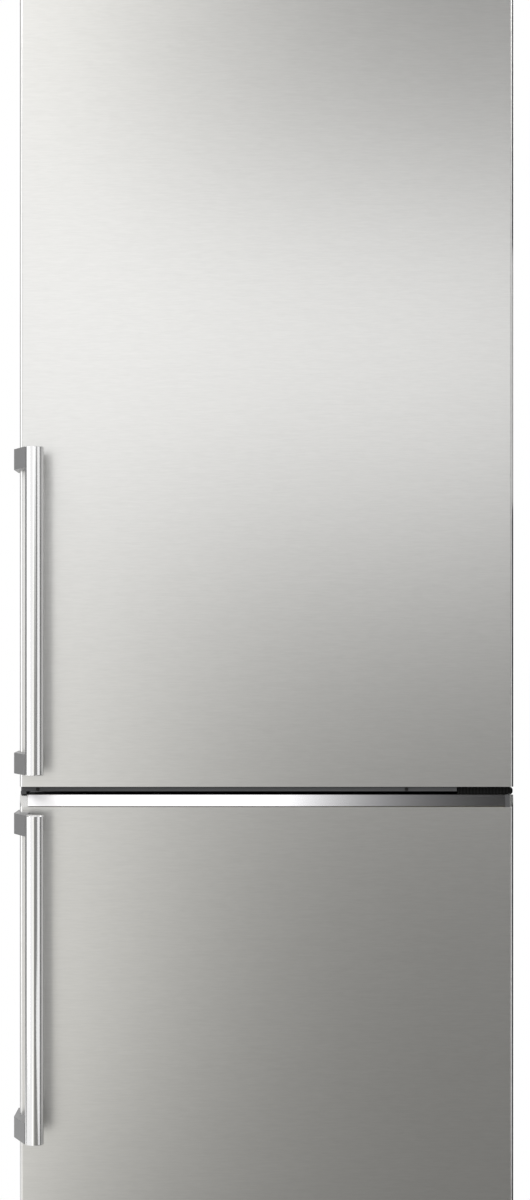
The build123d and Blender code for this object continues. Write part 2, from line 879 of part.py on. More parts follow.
# Drip tray on top of the compressor, open above
tray_floor = shell_bottom + compressor_height
with BuildPart() as drip_tray:
    with BuildSketch(Plane.XY.offset(tray_floor)):
        with Locations((compressor_x, compressor_y)):
            RectangleRounded(2 * tray_half_x, 2 * tray_half_y, tray_corner + liner_wall)
    extrude(amount=tray_height)
    with BuildSketch(Plane.XY.offset(tray_floor + liner_wall)):
        with Locations((compressor_x, compressor_y)):
            RectangleRounded(2 * (tray_half_x - liner_wall), 2 * (tray_half_y - liner_wall), tray_corner)
    extrude(amount=tray_height, mode=Mode.SUBTRACT)
drip_tray.part.label = "drip_tray"
export_step(drip_tray.part, "parts/drip_tray.step")

# Condenser: one serpentine tube with straight runs, down to the compressor space at both ends
coil_return_x = coil_half_width + coil_return_run
coil_entry_x = coil_half_width - coil_entry_inset
coil_entry = space_top - coil_entry_drop
coil_points = [(coil_entry_x, y_coil, coil_entry)]
for row in range(coil_rows):
    ends = (coil_half_width, -coil_half_width) if row % 2 == 0 else (-coil_half_width, coil_half_width)
    if row == 0:
        ends = (coil_entry_x, -coil_half_width)
    if row == coil_rows - 1:
        ends = (ends[0], coil_return_x)
    for x in ends:
        coil_points.append((x, y_coil, coil_row(row)))
coil_points.append((coil_return_x, y_coil, coil_entry))
with BuildPart() as condenser_coil:
    with BuildLine():
        FilletPolyline(*coil_points, radius=bend_share * coil_pitch)
    with BuildSketch(Plane(coil_points[0], z_dir=(0, 0, 1))):
        RegularPolygon(coil_tube_radius, tube_sides)
    sweep()
condenser_coil.part.label = "condenser_coil"
export_step(condenser_coil.part, "parts/condenser_coil.step")

# Condenser wires, welded across the runs on both sides of the tube
wire_bottom = coil_row(0) - wire_overrun
wire_length = coil_row(coil_rows - 1) + wire_overrun - wire_bottom
with BuildPart() as condenser_wires:
    with BuildSketch(Plane.XY.offset(wire_bottom)):
        for side in (-1, 1):
            with Locations((0, y_coil + side * (coil_tube_radius + wire_size / 2))):
                with GridLocations(wire_pitch, 1, wire_count, 1):
                    Rectangle(wire_size, wire_size)
    extrude(amount=wire_length)
condenser_wires.part.label = "condenser_wires"
export_step(condenser_wires.part, "parts/condenser_wires.step")

# Filter dryer: copper cartridge with necked ends
dryer_bottom = plate_level + dryer_rise
dryer_y = compressor_y + dryer_setback
dryer_plane = Plane((coil_return_x, dryer_y, dryer_bottom), x_dir=(1, 0, 0), z_dir=(0, -1, 0))
with BuildPart() as filter_dryer:
    with BuildSketch(dryer_plane):
        with BuildLine():
            Polyline(
                (0, 0),
                (dryer_mouth, 0),
                (dryer_radius, dryer_neck),
                (dryer_radius, dryer_length - dryer_neck),
                (dryer_mouth, dryer_length),
                (0, dryer_length),
                close=True,
            )
        make_face()
    revolve(axis=Axis((coil_return_x, dryer_y, 0), (0, 0, 1)))
filter_dryer.part.label = "filter_dryer"
export_step(filter_dryer.part, "parts/filter_dryer.step")

# Refrigerant pipes between compressor, condenser, dryer and the foamed-in evaporators
discharge_level = shell_bottom + seam_rise - discharge_drop
suction_level = shell_bottom + compressor_dome + suction_rise
pipe_foot = dryer_bottom - pipe_drop
suction_x = coil_entry_x + suction_run
suction_reach = (compressor_radius**2 - (suction_offset - coil_tube_radius) ** 2) ** 0.5
pipe_runs = (
    (
        (compressor_x + compressor_radius, compressor_y, discharge_level),
        (coil_entry_x, compressor_y, discharge_level),
        (coil_entry_x, y_coil, discharge_level),
        (coil_entry_x, y_coil, coil_entry),
    ),
    (
        (coil_return_x, y_coil, coil_entry),
        (coil_return_x, y_coil, pipe_foot),
        (coil_return_x, dryer_y, pipe_foot),
        (coil_return_x, dryer_y, dryer_bottom),
    ),
    (
        (compressor_x + suction_reach, compressor_y - suction_offset, suction_level),
        (suction_x, compressor_y - suction_offset, suction_level),
        (suction_x, compressor_y - suction_offset, space_top),
    ),
)
with BuildPart() as refrigerant_pipes:
    for run in pipe_runs:
        with BuildLine() as route:
            FilletPolyline(*run, radius=pipe_bend)
        with BuildSketch(Plane(run[0], z_dir=route.line % 0)):
            Circle(coil_tube_radius)
        sweep(path=route.line)
    with BuildSketch(Plane.XY.offset(dryer_bottom + dryer_length)):
        with Locations((coil_return_x, dryer_y)):
            Circle(coil_tube_radius)
    extrude(amount=space_top - dryer_bottom - dryer_length)
refrigerant_pipes.part.label = "refrigerant_pipes"
export_step(refrigerant_pipes.part, "parts/refrigerant_pipes.step")

# Mains inlet: socket on the side of the compressor space, open to the back
inlet_level = plate_level + inlet_rise
inlet_x = -half_width + sheet + inlet_width / 2
inlet_back = y_back - 2 * sheet
with BuildPart() as mains_inlet:
    with Locations((inlet_x, inlet_back - inlet_depth / 2, inlet_level)):
        Box(inlet_width, inlet_depth, inlet_height)
    with BuildSketch(upright(inlet_back)):
        with Locations((inlet_x, inlet_level)):
            Rectangle(inlet_width - 2 * inlet_wall, inlet_height - 3 * inlet_wall)
    extrude(amount=inlet_depth - inlet_wall, mode=Mode.SUBTRACT)
    with BuildSketch(upright(inlet_back - inlet_depth + inlet_wall)):
        with Locations((inlet_x, inlet_level)):
            with GridLocations(prong_pitch, 1, prong_count, 1):
                Rectangle(prong_width, prong_height)
    extrude(amount=-inlet_depth / 2)
mains_inlet.part.label = "mains_inlet"
export_step(mains_inlet.part, "parts/mains_inlet.step")

# Glass panes, resting on the liner's ribs: the lowest covers the crisper, the others are shelves
pane_half = fridge_half - shelf_play
with BuildPart() as fridge_shelves:
    for index in range(shelf_count + 1):
        level = shelf_level(index)
        block(-pane_half, pane_half, shelf_front, shelf_back, level, level + glass)
fridge_shelves.part.label = "fridge_shelves"
export_step(fridge_shelves.part, "parts/fridge_shelves.step")

# Plastic trims that grip the front and back edges of each pane
trim_grip = trim_bar - trim_play
back_trim_half = fridge_half - shelf_rib_width - trim_play
with BuildPart() as shelf_trims:
    for index in range(shelf_count + 1):
        for half, y_outer, y_inner in (
            (pane_half, shelf_front - trim_lip, shelf_front + trim_grip),
            (back_trim_half, shelf_back + trim_lip, shelf_back - trim_grip),
        ):
            with BuildSketch(Plane.YZ):
                with Locations(((y_outer + y_inner) / 2, shelf_level(index) + glass / 2)):
                    RectangleRounded(trim_grip + trim_lip, glass + 2 * trim_lip, trim_round)
            extrude(amount=half, both=True)
        level = shelf_level(index)
        block(-half_width, half_width, shelf_front, shelf_back, level, level + glass, mode=Mode.SUBTRACT)
shelf_trims.part.label = "shelf_trims"
export_step(shelf_trims.part, "parts/shelf_trims.step")


def make_drawer(front, depth, floor, top):
    """Open drawer with a thick front and a recessed grip near its upper edge."""
    with BuildPart() as drawer:
        with BuildSketch(Plane.XY.offset(floor)):
            with Locations((0, front + depth / 2)):
                RectangleRounded(2 * drawer_half_width, depth, drawer_corner)
        extrude(amount=top - floor)
        with BuildSketch(Plane.XY.offset(floor + drawer_wall)):
            with Locations((0, front + drawer_front + (depth - drawer_front - drawer_wall) / 2)):
                RectangleRounded(
                    2 * (drawer_half_width - drawer_wall),
                    depth - drawer_front - drawer_wall,
                    drawer_corner - drawer_wall,
                )
        extrude(amount=top - floor, mode=Mode.SUBTRACT)
        with BuildSketch(upright(front)):
            with Locations((0, top - grip_drop)):
                SlotOverall(grip_width, grip_height)
        extrude(amount=drawer_wall - drawer_front, mode=Mode.SUBTRACT)
    return drawer


# Crisper drawer on the fridge floor
crisper = make_drawer(y_face + crisper_front_inset, crisper_depth, slide_floor, slide_floor + crisper_height)
crisper.part.label = "crisper"
export_step(crisper.part, "parts/crisper.step")

# Freezer evaporator shelves: serpentine tubes from the back wall, with wires across that carry the drawers
side_run_x = freezer_half - evaporator_side_gap
row_end_x = side_run_x - evaporator_row_inset
wire_step = 2 * row_end_x / evaporator_wire_count
with BuildPart() as freezer_evaporator:
    for index in range(evaporator_count):
        tube_level = evaporator_level(index) + evaporator_tube_radius
        shelf_points = [(-side_run_x, freezer_back, tube_level), (-side_run_x, evaporator_front, tube_level)]
        for row in range(evaporator_rows):
            row_y = evaporator_front + row * evaporator_pitch
            left_x = -side_run_x if row == 0 else -row_end_x
            ends = (left_x, side_run_x) if row % 2 == 0 else (side_run_x, left_x)
            for x in ends[1 if row == 0 else 0 :]:
                shelf_points.append((x, row_y, tube_level))
        shelf_points.append((shelf_points[-1][0], freezer_back, tube_level))
        with BuildLine() as shelf_route:
            FilletPolyline(*shelf_points, radius=bend_share * evaporator_pitch)
        with BuildSketch(Plane(shelf_points[0], z_dir=(0, -1, 0))):
            RegularPolygon(evaporator_tube_radius, tube_sides)
        sweep(path=shelf_route.line)
        wire_level = tube_level + evaporator_tube_radius + wire_rest
        with BuildSketch(Plane.XY.offset(wire_level)):
            with Locations((0, (evaporator_front + freezer_back) / 2)):
                with GridLocations(wire_step, 1, evaporator_wire_count, 1):
                    Rectangle(evaporator_wire, freezer_back - evaporator_front)
        extrude(amount=evaporator_wire)
freezer_evaporator.part.label = "freezer_evaporator"
export_step(freezer_evaporator.part, "parts/freezer_evaporator.step")

# Freezer drawers, numbered from the bottom: the lowest is short because of the compressor step
drawer_front_y = y_face + drawer_front_inset
drawer_rest = 2 * evaporator_tube_radius + wire_rest + evaporator_wire + slide_clearance
low_depth = step_front - drawer_back_gap - drawer_front_y
for number in (1, 2, 3):
    drawer_top = evaporator_level(number - 1) - drawer_headroom
    if number == 1:
        freezer_drawer = make_drawer(drawer_front_y, low_depth, freezer_floor + slide_clearance, drawer_top)
    else:
        drawer_floor = evaporator_level(number - 2) + drawer_rest
        freezer_drawer = make_drawer(drawer_front_y, drawer_depth, drawer_floor, drawer_top)
    freezer_drawer.part.label = f"freezer_drawer_{number}"
    export_step(freezer_drawer.part, f"parts/freezer_drawer_{number}.step")

# Control housing under the fridge ceiling, with seats for the lamp lens, the knob and the button
housing_bottom = fridge_ceiling - housing_height
housing_middle = fridge_ceiling - housing_height / 2
lens_y = shelf_front + housing_depth / 2
with BuildPart() as control_housing:
    with BuildSketch(Plane.XY.offset(housing_bottom)):
        with Locations((0, shelf_front + housing_depth / 2)):
            RectangleRounded(2 * housing_half, housing_depth, housing_corner)
    extrude(amount=housing_height)
    with BuildSketch(Plane.XY.offset(housing_bottom)):
        with Locations((0, lens_y)):
            RectangleRounded(2 * (lens_half + lens_play), lens_depth + 2 * lens_play, lens_corner + lens_play)
    extrude(amount=lens_thickness / 2, mode=Mode.SUBTRACT)
    with BuildSketch(upright(shelf_front)):
        with Locations((knob_x, housing_middle)):
            Circle(shaft_radius + slide_clearance)
    extrude(amount=-shaft_length - shaft_end_play, mode=Mode.SUBTRACT)
    with BuildSketch(upright(shelf_front)):
        with Locations((button_x, housing_middle)):
            RectangleRounded(
                button_width + 2 * button_play,
                button_height + 2 * button_play,
                button_corner + button_play,
            )
    extrude(amount=-button_depth - button_travel - button_play, mode=Mode.SUBTRACT)
control_housing.part.label = "control_housing"
export_step(control_housing.part, "parts/control_housing.step")

# Lamp lens, half sunk in the housing's underside
with BuildPart() as lamp_lens:
    with BuildSketch(Plane.XY.offset(housing_bottom - lens_thickness / 2)):
        with Locations((0, lens_y)):
            RectangleRounded(2 * lens_half, lens_depth, lens_corner)
    extrude(amount=lens_thickness)
    fillet(lamp_lens.faces().sort_by(Axis.Z)[0].edges(), radius=lens_thickness / 3)
lamp_lens.part.label = "lamp_lens"
export_step(lamp_lens.part, "parts/lamp_lens.step")

# Thermostat knob with a grip bar, turning on its shaft in the housing
knob_back = shelf_front - slide_clearance
with BuildPart() as thermostat_knob:
    with BuildSketch(upright(knob_back)):
        with Locations((knob_x, housing_middle)):
            Circle(knob_radius)
    extrude(amount=knob_length / 2)
    fillet(thermostat_knob.faces().sort_by(Axis.Y)[0].edges(), radius=knob_edge)
    with BuildSketch(upright(knob_back - knob_length / 2)):
        with Locations((knob_x, housing_middle)):
            SlotOverall(2 * (knob_radius - knob_grip_inset), knob_grip_width, rotation=90)
    extrude(amount=knob_length / 2)
    with BuildSketch(upright(knob_back)):
        with Locations((knob_x, housing_middle)):
            Circle(shaft_radius)
    extrude(amount=-shaft_length)
thermostat_knob.part.label = "thermostat_knob"
export_step(thermostat_knob.part, "parts/thermostat_knob.step")

# Fast-freeze button, sliding into the housing
with BuildPart() as freeze_button:
    with BuildSketch(upright(shelf_front + button_depth)):
        with Locations((button_x, housing_middle)):
            RectangleRounded(button_width, button_height, button_corner)
    extrude(amount=button_depth + button_stand)
    fillet(freeze_button.faces().sort_by(Axis.Y)[0].edges(), radius=button_edge)
freeze_button.part.label = "freeze_button"
export_step(freeze_button.part, "parts/freeze_button.step")

# Door levels
skin_back = y_rim - liner_wall
fridge_skin_top = door_top - cap_wall
freezer_skin_bottom = door_floor_gap + cap_wall
boss_length = pin_length + moulding
bore_radius = pin_radius + pin_clearance
bore_length = pin_length + pin_clearance


def door_plan(level, inset, back):
    """Plan of a door at a level, set in from its outside, with rounded front edges."""
    half = half_width - inset
    front = y_door + inset
    with BuildSketch(Plane.XY.offset(level)) as plan:
        with Locations((0, (front + back) / 2)):
            Rectangle(2 * half, back - front)
        fillet(plan.vertices().group_by(Axis.Y)[0], radius=door_edge_radius - inset)
    return plan.sketch


def hinge_posts(bottom, top, radius, mode=Mode.ADD):
    """Two posts, one at each side, because the door can be hung either way round."""
    with Locations(
        (-hinge_x, hinge_y, (bottom + top) / 2),
        (hinge_x, hinge_y, (bottom + top) / 2),
    ):
        Cylinder(radius, top - bottom, mode=mode)


def make_skin(bottom, top):
    """Steel skin of a door: a front folded back along both sides."""
    with BuildPart() as skin:
        extrude(door_plan(bottom, 0, skin_back), amount=top - bottom)
        extrude(door_plan(bottom, sheet, skin_back), amount=top - bottom, mode=Mode.SUBTRACT)
    return skin


def make_seal(bottom, top):
    """Door seal: a foot on the door, a narrow bellows and a wide magnetic head."""
    with BuildPart() as seal:
        for start, end, inset in (
            (y_rim, y_rim + seal_foot, 0),
            (y_rim + seal_foot, y_face - seal_clearance - seal_head, seal_neck_inset),
            (y_face - seal_clearance - seal_head, y_face - seal_clearance, 0),
        ):
            with BuildSketch(upright(start)):
                frame_rectangle(seal_half - inset, bottom + inset, top - inset)
                inner = seal_width - inset
                frame_rectangle(seal_half - inner, bottom + inner, top - inner, mode=Mode.SUBTRACT)
            extrude(amount=start - end)
    return seal


def make_handle_bar(bottom):
    """Round handle bar with flat, lightly broken ends."""
    with BuildPart() as bar:
        with BuildSketch(Plane.XY.offset(bottom)):
            with Locations((bar_x, bar_y)):
                Circle(handle_radius)
        extrude(amount=handle_length)
        chamfer(bar.edges().filter_by(GeomType.CIRCLE), length=bar_chamfer)
    return bar


def make_brackets(bottom):
    """Two brackets, one at each end of a bar, bent from the door's side out to the bar."""
    with BuildPart() as brackets:
        for level in (bottom, bottom + handle_length - bracket_height):
            with BuildSketch(Plane.XY.offset(level)):
                with BuildLine():
                    Polyline(
                        (-half_width, y_door + bracket_side_run),
                        (-half_width - bracket_plate, y_door + bracket_side_run),
                        (-half_width - bracket_plate, y_door - bracket_bend),
                        (bar_x - handle_radius - bracket_grip, bar_y),
                        (bar_x, bar_y),
                        (bar_x - bracket_grip, bar_y + handle_radius + bracket_grip),
                        (-half_width, y_door - bracket_bend + bracket_plate / 2),
                        close=True,
                    )
                make_face()
                with Locations((bar_x, bar_y)):
                    Circle(handle_radius + bracket_fit, mode=Mode.SUBTRACT)
            extrude(amount=bracket_height)
    return brackets


bar_x = -half_width + handle_inset
bar_y = y_door - handle_reach + handle_radius

# Fridge door skin
fridge_door_skin = make_skin(fridge_door_bottom, fridge_skin_top)
fridge_door_skin.part.label = "fridge_door_skin"
export_step(fridge_door_skin.part, "parts/fridge_door_skin.step")

# Fridge door top cap, with hinge bosses at both sides
with BuildPart() as fridge_door_top_cap:
    extrude(door_plan(fridge_skin_top, 0, y_rim), amount=cap_wall)
    hinge_posts(door_top - boss_length, fridge_skin_top, pin_boss_radius)
    hinge_posts(door_top - bore_length, door_top, bore_radius, mode=Mode.SUBTRACT)
fridge_door_top_cap.part.label = "fridge_door_top_cap"
export_step(fridge_door_top_cap.part, "parts/fridge_door_top_cap.step")

# Fridge door bottom cap: a plug inside the skin and a ledge below it, cut away round the hinge
with BuildPart() as fridge_door_bottom_cap:
    extrude(door_plan(fridge_door_bottom, sheet, skin_back), amount=cap_wall)
    extrude(door_plan(fridge_door_bottom - ledge_drop, ledge_inset, skin_back), amount=ledge_drop)
    with Locations((hinge_x, hinge_y, fridge_door_bottom - ledge_drop / 2)):
        Cylinder(ledge_sweep, ledge_drop, mode=Mode.SUBTRACT)
    hinge_posts(fridge_door_bottom, fridge_door_bottom + boss_length, pin_boss_radius)
    hinge_posts(
        fridge_door_bottom - ledge_drop,
        fridge_door_bottom + bore_length,
        bore_radius,
        mode=Mode.SUBTRACT,
    )
fridge_door_bottom_cap.part.label = "fridge_door_bottom_cap"
export_step(fridge_door_bottom_cap.part, "parts/fridge_door_bottom_cap.step")

# Fridge door foam, with pockets for the hinge bosses
with BuildPart() as fridge_door_foam:
    foam_bottom = fridge_door_bottom + cap_wall
    extrude(door_plan(foam_bottom, sheet, skin_back), amount=fridge_skin_top - foam_bottom)
    hinge_posts(
        foam_bottom,
        fridge_door_bottom + boss_length + post_fit,
        pin_boss_radius + post_fit,
        mode=Mode.SUBTRACT,
    )
    hinge_posts(
        door_top - boss_length - post_fit,
        fridge_skin_top,
        pin_boss_radius + post_fit,
        mode=Mode.SUBTRACT,
    )
fridge_door_foam.part.label = "fridge_door_foam"
export_step(fridge_door_foam.part, "parts/fridge_door_foam.step")

# Fridge door liner: the flat inner panel
with BuildPart() as fridge_door_liner:
    with BuildSketch(upright(skin_back)):
        frame_rectangle(half_width - sheet, fridge_door_bottom, fridge_skin_top)
    extrude(amount=-liner_wall)
fridge_door_liner.part.label = "fridge_door_liner"
export_step(fridge_door_liner.part, "parts/fridge_door_liner.step")

# Levels of the door's fittings
dyke_half = fridge_half - dyke_side_clearance
dyke_bottom = fridge_floor + dyke_end_clearance
dyke_top = fridge_ceiling - dyke_end_clearance
bin_half = dyke_half - dyke_width
bottle_floor = dyke_bottom + dyke_width
bin_pitch = (dyke_top - dyke_width - top_bin_room - bottle_floor) / bin_count


def bin_floor(index):
    """Underside of a door bin: index 0 is the bottle bin on the frame's lower wall."""
    return bottle_floor + index * bin_pitch


# Frame on the panel that carries the bins on cleats between its side walls
with BuildPart() as door_bin_frame:
    with BuildSketch(upright(y_rim)):
        frame_rectangle(dyke_half, dyke_bottom, dyke_top, dyke_width)
        frame_rectangle(bin_half, bottle_floor, dyke_top - dyke_width, mode=Mode.SUBTRACT)
    extrude(amount=-dyke_depth)
    fillet(door_bin_frame.faces().sort_by(Axis.Y)[-1].outer_wire().edges(), radius=dyke_width / 3)
    for index in range(1, bin_count + 1):
        top = bin_floor(index)
        for side in (-1, 1):
            cleat_x = side * (bin_half - cleat_width / 2)
            with Locations((cleat_x, y_rim + cleat_depth / 2, top - cleat_height / 2)):
                Box(cleat_width, cleat_depth, cleat_height)
door_bin_frame.part.label = "door_bin_frame"
export_step(door_bin_frame.part, "parts/door_bin_frame.step")

# Fridge door seal
fridge_door_seal = make_seal(fridge_door_bottom + seal_end_inset, door_top - seal_end_inset)
fridge_door_seal.part.label = "fridge_door_seal"
export_step(fridge_door_seal.part, "parts/fridge_door_seal.step")


def bin_plan(level, inset):
    """Plan of a door bin at a level, rounded at its two inner corners."""
    back = y_rim + bin_depth - inset
    with BuildSketch(Plane.XY.offset(level)) as plan:
        with Locations((0, (y_rim + inset + back) / 2)):
            Rectangle(2 * (bin_half - inset), back - y_rim - inset)
        fillet(plan.vertices().group_by(Axis.Y)[-1], radius=bin_corner - inset)
    return plan.sketch


# Door bins between the frame's side walls
with BuildPart() as door_bins:
    for index in range(1, bin_count + 1):
        floor = bin_floor(index)
        extrude(bin_plan(floor, 0), amount=bin_height)
        extrude(bin_plan(floor + bin_wall, bin_wall), amount=bin_height, mode=Mode.SUBTRACT)
door_bins.part.label = "door_bins"
export_step(door_bins.part, "parts/door_bins.step")

# Taller bottle bin at the foot of the door
with BuildPart() as bottle_bin:
    extrude(bin_plan(bottle_floor, 0), amount=bottle_bin_height)
    extrude(bin_plan(bottle_floor + bin_wall, bin_wall), amount=bottle_bin_height, mode=Mode.SUBTRACT)
bottle_bin.part.label = "bottle_bin"
export_step(bottle_bin.part, "parts/bottle_bin.step")

# Fridge door handle
fridge_handle_bottom = fridge_door_bottom + fridge_handle_rise
fridge_handle_bar = make_handle_bar(fridge_handle_bottom)
fridge_handle_bar.part.label = "fridge_handle_bar"
export_step(fridge_handle_bar.part, "parts/fridge_handle_bar.step")
fridge_handle_brackets = make_brackets(fridge_handle_bottom)
fridge_handle_brackets.part.label = "fridge_handle_brackets"
export_step(fridge_handle_brackets.part, "parts/fridge_handle_brackets.step")

# Freezer door skin
freezer_door_skin = make_skin(freezer_skin_bottom, freezer_skin_top)
freezer_door_skin.part.label = "freezer_door_skin"
export_step(freezer_door_skin.part, "parts/freezer_door_skin.step")

# Sloping face along the freezer door's head: its foot, its direction and its inward normal
slope_length = (trim_setback**2 + trim_height**2) ** 0.5
slope_y = trim_setback / slope_length
slope_z = trim_height / slope_length


def slope_point(along, inward):
    """Point on the sloping face, measured up it from its foot and in from its surface."""
    y = y_door + along * slope_y + inward * slope_z
    z = freezer_skin_top + along * slope_z - inward * slope_y
    return (y, z)


def slope_strip(start, end, thickness):
    """Section of a strip let into the sloping face."""
    with BuildSketch(Plane.YZ) as strip:
        with BuildLine():
            Polyline(
                slope_point(start, 0),
                slope_point(end, 0),
                slope_point(end, thickness),
                slope_point(start, thickness),
                close=True,
            )
        make_face()
    return strip.sketch


# Freezer door top cap: sloped at the front, hollow below, with hinge bosses and a seat for the strip
trim_half = half_width - trim_end
cap_front = y_door + trim_setback + moulding
with BuildPart() as freezer_door_top_cap:
    extrude(door_plan(freezer_skin_top, 0, y_rim), amount=trim_height)
    with BuildSketch(Plane.YZ):
        with BuildLine():
            Polyline(
                slope_point(-trim_height, 0),
                slope_point(2 * slope_length, 0),
                (y_door - trim_height, freezer_door_top + trim_height),
                close=True,
            )
        make_face()
    extrude(amount=width, both=True, mode=Mode.SUBTRACT)
    block(
        -half_width + moulding,
        half_width - moulding,
        cap_front,
        y_rim - moulding,
        freezer_skin_top,
        freezer_door_top - moulding,
        mode=Mode.SUBTRACT,
    )
    hinge_posts(freezer_door_top - boss_length, freezer_door_top - moulding, pin_boss_radius)
    hinge_posts(freezer_door_top - bore_length, freezer_door_top, bore_radius, mode=Mode.SUBTRACT)
    extrude(slope_strip(0, slope_length, trim_thickness), amount=trim_half, both=True, mode=Mode.SUBTRACT)
    extrude(slope_strip(0, trim_groove, moulding), amount=trim_half, both=True, mode=Mode.SUBTRACT)
freezer_door_top_cap.part.label = "freezer_door_top_cap"
export_step(freezer_door_top_cap.part, "parts/freezer_door_top_cap.step")

# Bright strip let into the sloping face
with BuildPart() as freezer_door_trim:
    extrude(slope_strip(trim_groove, slope_length, trim_thickness), amount=trim_half, both=True)
freezer_door_trim.part.label = "freezer_door_trim"
export_step(freezer_door_trim.part, "parts/freezer_door_trim.step")

# Freezer door bottom cap, with hinge bosses at both sides
with BuildPart() as freezer_door_bottom_cap:
    extrude(door_plan(door_floor_gap, 0, y_rim), amount=cap_wall)
    hinge_posts(freezer_skin_bottom, door_floor_gap + boss_length, pin_boss_radius)
    hinge_posts(door_floor_gap, door_floor_gap + bore_length, bore_radius, mode=Mode.SUBTRACT)
freezer_door_bottom_cap.part.label = "freezer_door_bottom_cap"
export_step(freezer_door_bottom_cap.part, "parts/freezer_door_bottom_cap.step")

# Freezer door foam, with pockets for the hinge bosses
with BuildPart() as freezer_door_foam:
    extrude(door_plan(freezer_skin_bottom, sheet, skin_back), amount=freezer_skin_top - freezer_skin_bottom)
    hinge_posts(
        freezer_skin_bottom,
        door_floor_gap + boss_length + post_fit,
        pin_boss_radius + post_fit,
        mode=Mode.SUBTRACT,
    )
    hinge_posts(
        freezer_door_top - boss_length - post_fit,
        freezer_skin_top,
        pin_boss_radius + post_fit,
        mode=Mode.SUBTRACT,
    )
freezer_door_foam.part.label = "freezer_door_foam"
export_step(freezer_door_foam.part, "parts/freezer_door_foam.step")

# Freezer door liner: a flat panel with a low raised field
with BuildPart() as freezer_door_liner:
    with BuildSketch(upright(skin_back)):
        frame_rectangle(half_width - sheet, freezer_skin_bottom, freezer_skin_top)
    extrude(amount=-liner_wall)
    with BuildSketch(upright(y_rim)):
        frame_rectangle(
            half_width - field_inset,
            freezer_skin_bottom + field_inset,
            freezer_skin_top - field_inset,
            liner_corner,
        )
    extrude(amount=-field_height)
freezer_door_liner.part.label = "freezer_door_liner"
export_step(freezer_door_liner.part, "parts/freezer_door_liner.step")

# Freezer door seal
freezer_door_seal = make_seal(door_floor_gap + seal_end_inset, freezer_door_top - seal_end_inset)
freezer_door_seal.part.label = "freezer_door_seal"
export_step(freezer_door_seal.part, "parts/freezer_door_seal.step")

# Freezer door handle
freezer_handle_bottom = freezer_door_top - freezer_handle_drop - handle_length
freezer_handle_bar = make_handle_bar(freezer_handle_bottom)
freezer_handle_bar.part.label = "freezer_handle_bar"
export_step(freezer_handle_bar.part, "parts/freezer_handle_bar.step")
freezer_handle_brackets = make_brackets(freezer_handle_bottom)
freezer_handle_brackets.part.label = "freezer_handle_brackets"
export_step(freezer_handle_brackets.part, "parts/freezer_handle_brackets.step")
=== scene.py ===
import json
import math

import bmesh
import bpy
from mathutils import Matrix, Vector


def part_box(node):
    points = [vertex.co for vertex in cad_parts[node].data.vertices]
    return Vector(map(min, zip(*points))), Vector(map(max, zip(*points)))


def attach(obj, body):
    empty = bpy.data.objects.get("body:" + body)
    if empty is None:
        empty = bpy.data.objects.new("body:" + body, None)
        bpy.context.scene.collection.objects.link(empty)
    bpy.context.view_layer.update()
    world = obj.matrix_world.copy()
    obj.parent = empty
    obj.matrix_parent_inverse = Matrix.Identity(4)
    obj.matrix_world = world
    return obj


# Looks of a fridge freezer with brushed steel doors. Lengths are in metres, in the frame of the part.
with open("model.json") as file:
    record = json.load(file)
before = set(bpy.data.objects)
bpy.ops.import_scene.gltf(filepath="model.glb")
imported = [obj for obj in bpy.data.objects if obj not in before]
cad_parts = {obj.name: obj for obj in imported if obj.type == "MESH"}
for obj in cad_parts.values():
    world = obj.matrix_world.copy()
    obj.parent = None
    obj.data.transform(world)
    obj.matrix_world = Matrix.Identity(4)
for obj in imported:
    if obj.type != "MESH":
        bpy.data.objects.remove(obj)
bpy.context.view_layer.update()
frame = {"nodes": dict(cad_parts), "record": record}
nodes = frame["nodes"]

MM = 0.001
FRONT = (0, -1, 0)
BACK = (0, 1, 0)
UP = (0, 0, 1)
WHITE = (1, 1, 1)
WHOLE_RANGE = (0.0, 1.0)

# Photograph: frame size, the pixel in line with the lens, and the scale on the doors' front plane
PHOTO_WIDTH = 530
PHOTO_HEIGHT = 1200
LENS_PIXEL = (266.6, 640.0)
PIXELS_PER_METRE = 823.3

# Camera
CAMERA_DISTANCE = 2.70
CAMERA_HEIGHT = 0.9333
SENSOR_SIZE = 36.0

# Colours of the looks that single nodes have
BRACKET_GREY = (0.175, 0.175, 0.177)
PLUG_SHADE = (0.04, 0.04, 0.04)
# Dark grey of the dark plastic; on the freezer door's top cap it is painted shade
DARK_GREY = (0.055, 0.056, 0.058)
CAP_END_COLOUR = (0.50, 0.50, 0.50)
COVER_BLACK = (0.006, 0.006, 0.006)

# Brushing: cells a metre along X, Y and Z in the fine and the long streaks, by the axis they follow
STREAK_CELLS = {
    "X": ((70, 70, 700), (25, 25, 300)),
    "Z": ((900, 900, 14), (420, 420, 3)),
}
STREAK_TURN = {"X": 0.25, "Z": 0.0}
FINE_SHARE = 0.7
STRIP_CELLS = (30, 30, 900)

# Grain of the other looks, in cells or ribs a metre
OXIDE_CELLS = 60.0
METAL_CELLS = 900.0
CRYSTAL_CELLS = 130.0
CLOUD_CELLS = 9.0
CAP_CELLS = 1100.0
BRACKET_CELLS = 1400.0
FOAM_CELLS = 900.0
FOAM_CLOUD_CELLS = 25.0
COVER_RIBS = 250.0
FLOOR_CELLS = 2.0

# Polish: the shares of a look's roughness between which it varies
STREAK_POLISH = (0.98, 1.02)
STRIP_POLISH = (0.94, 1.06)
METAL_POLISH = (0.80, 1.25)
COAT_POLISH = (0.90, 1.12)
CLEAR_POLISH = (0.70, 1.30)

# Roughness at the dark and at the light end of a look's pattern
ZINC_ROUGHNESS = (0.32, 0.46)
CAP_ROUGHNESS = (0.42, 0.20)
BRACKET_ROUGHNESS = (0.38, 0.47)

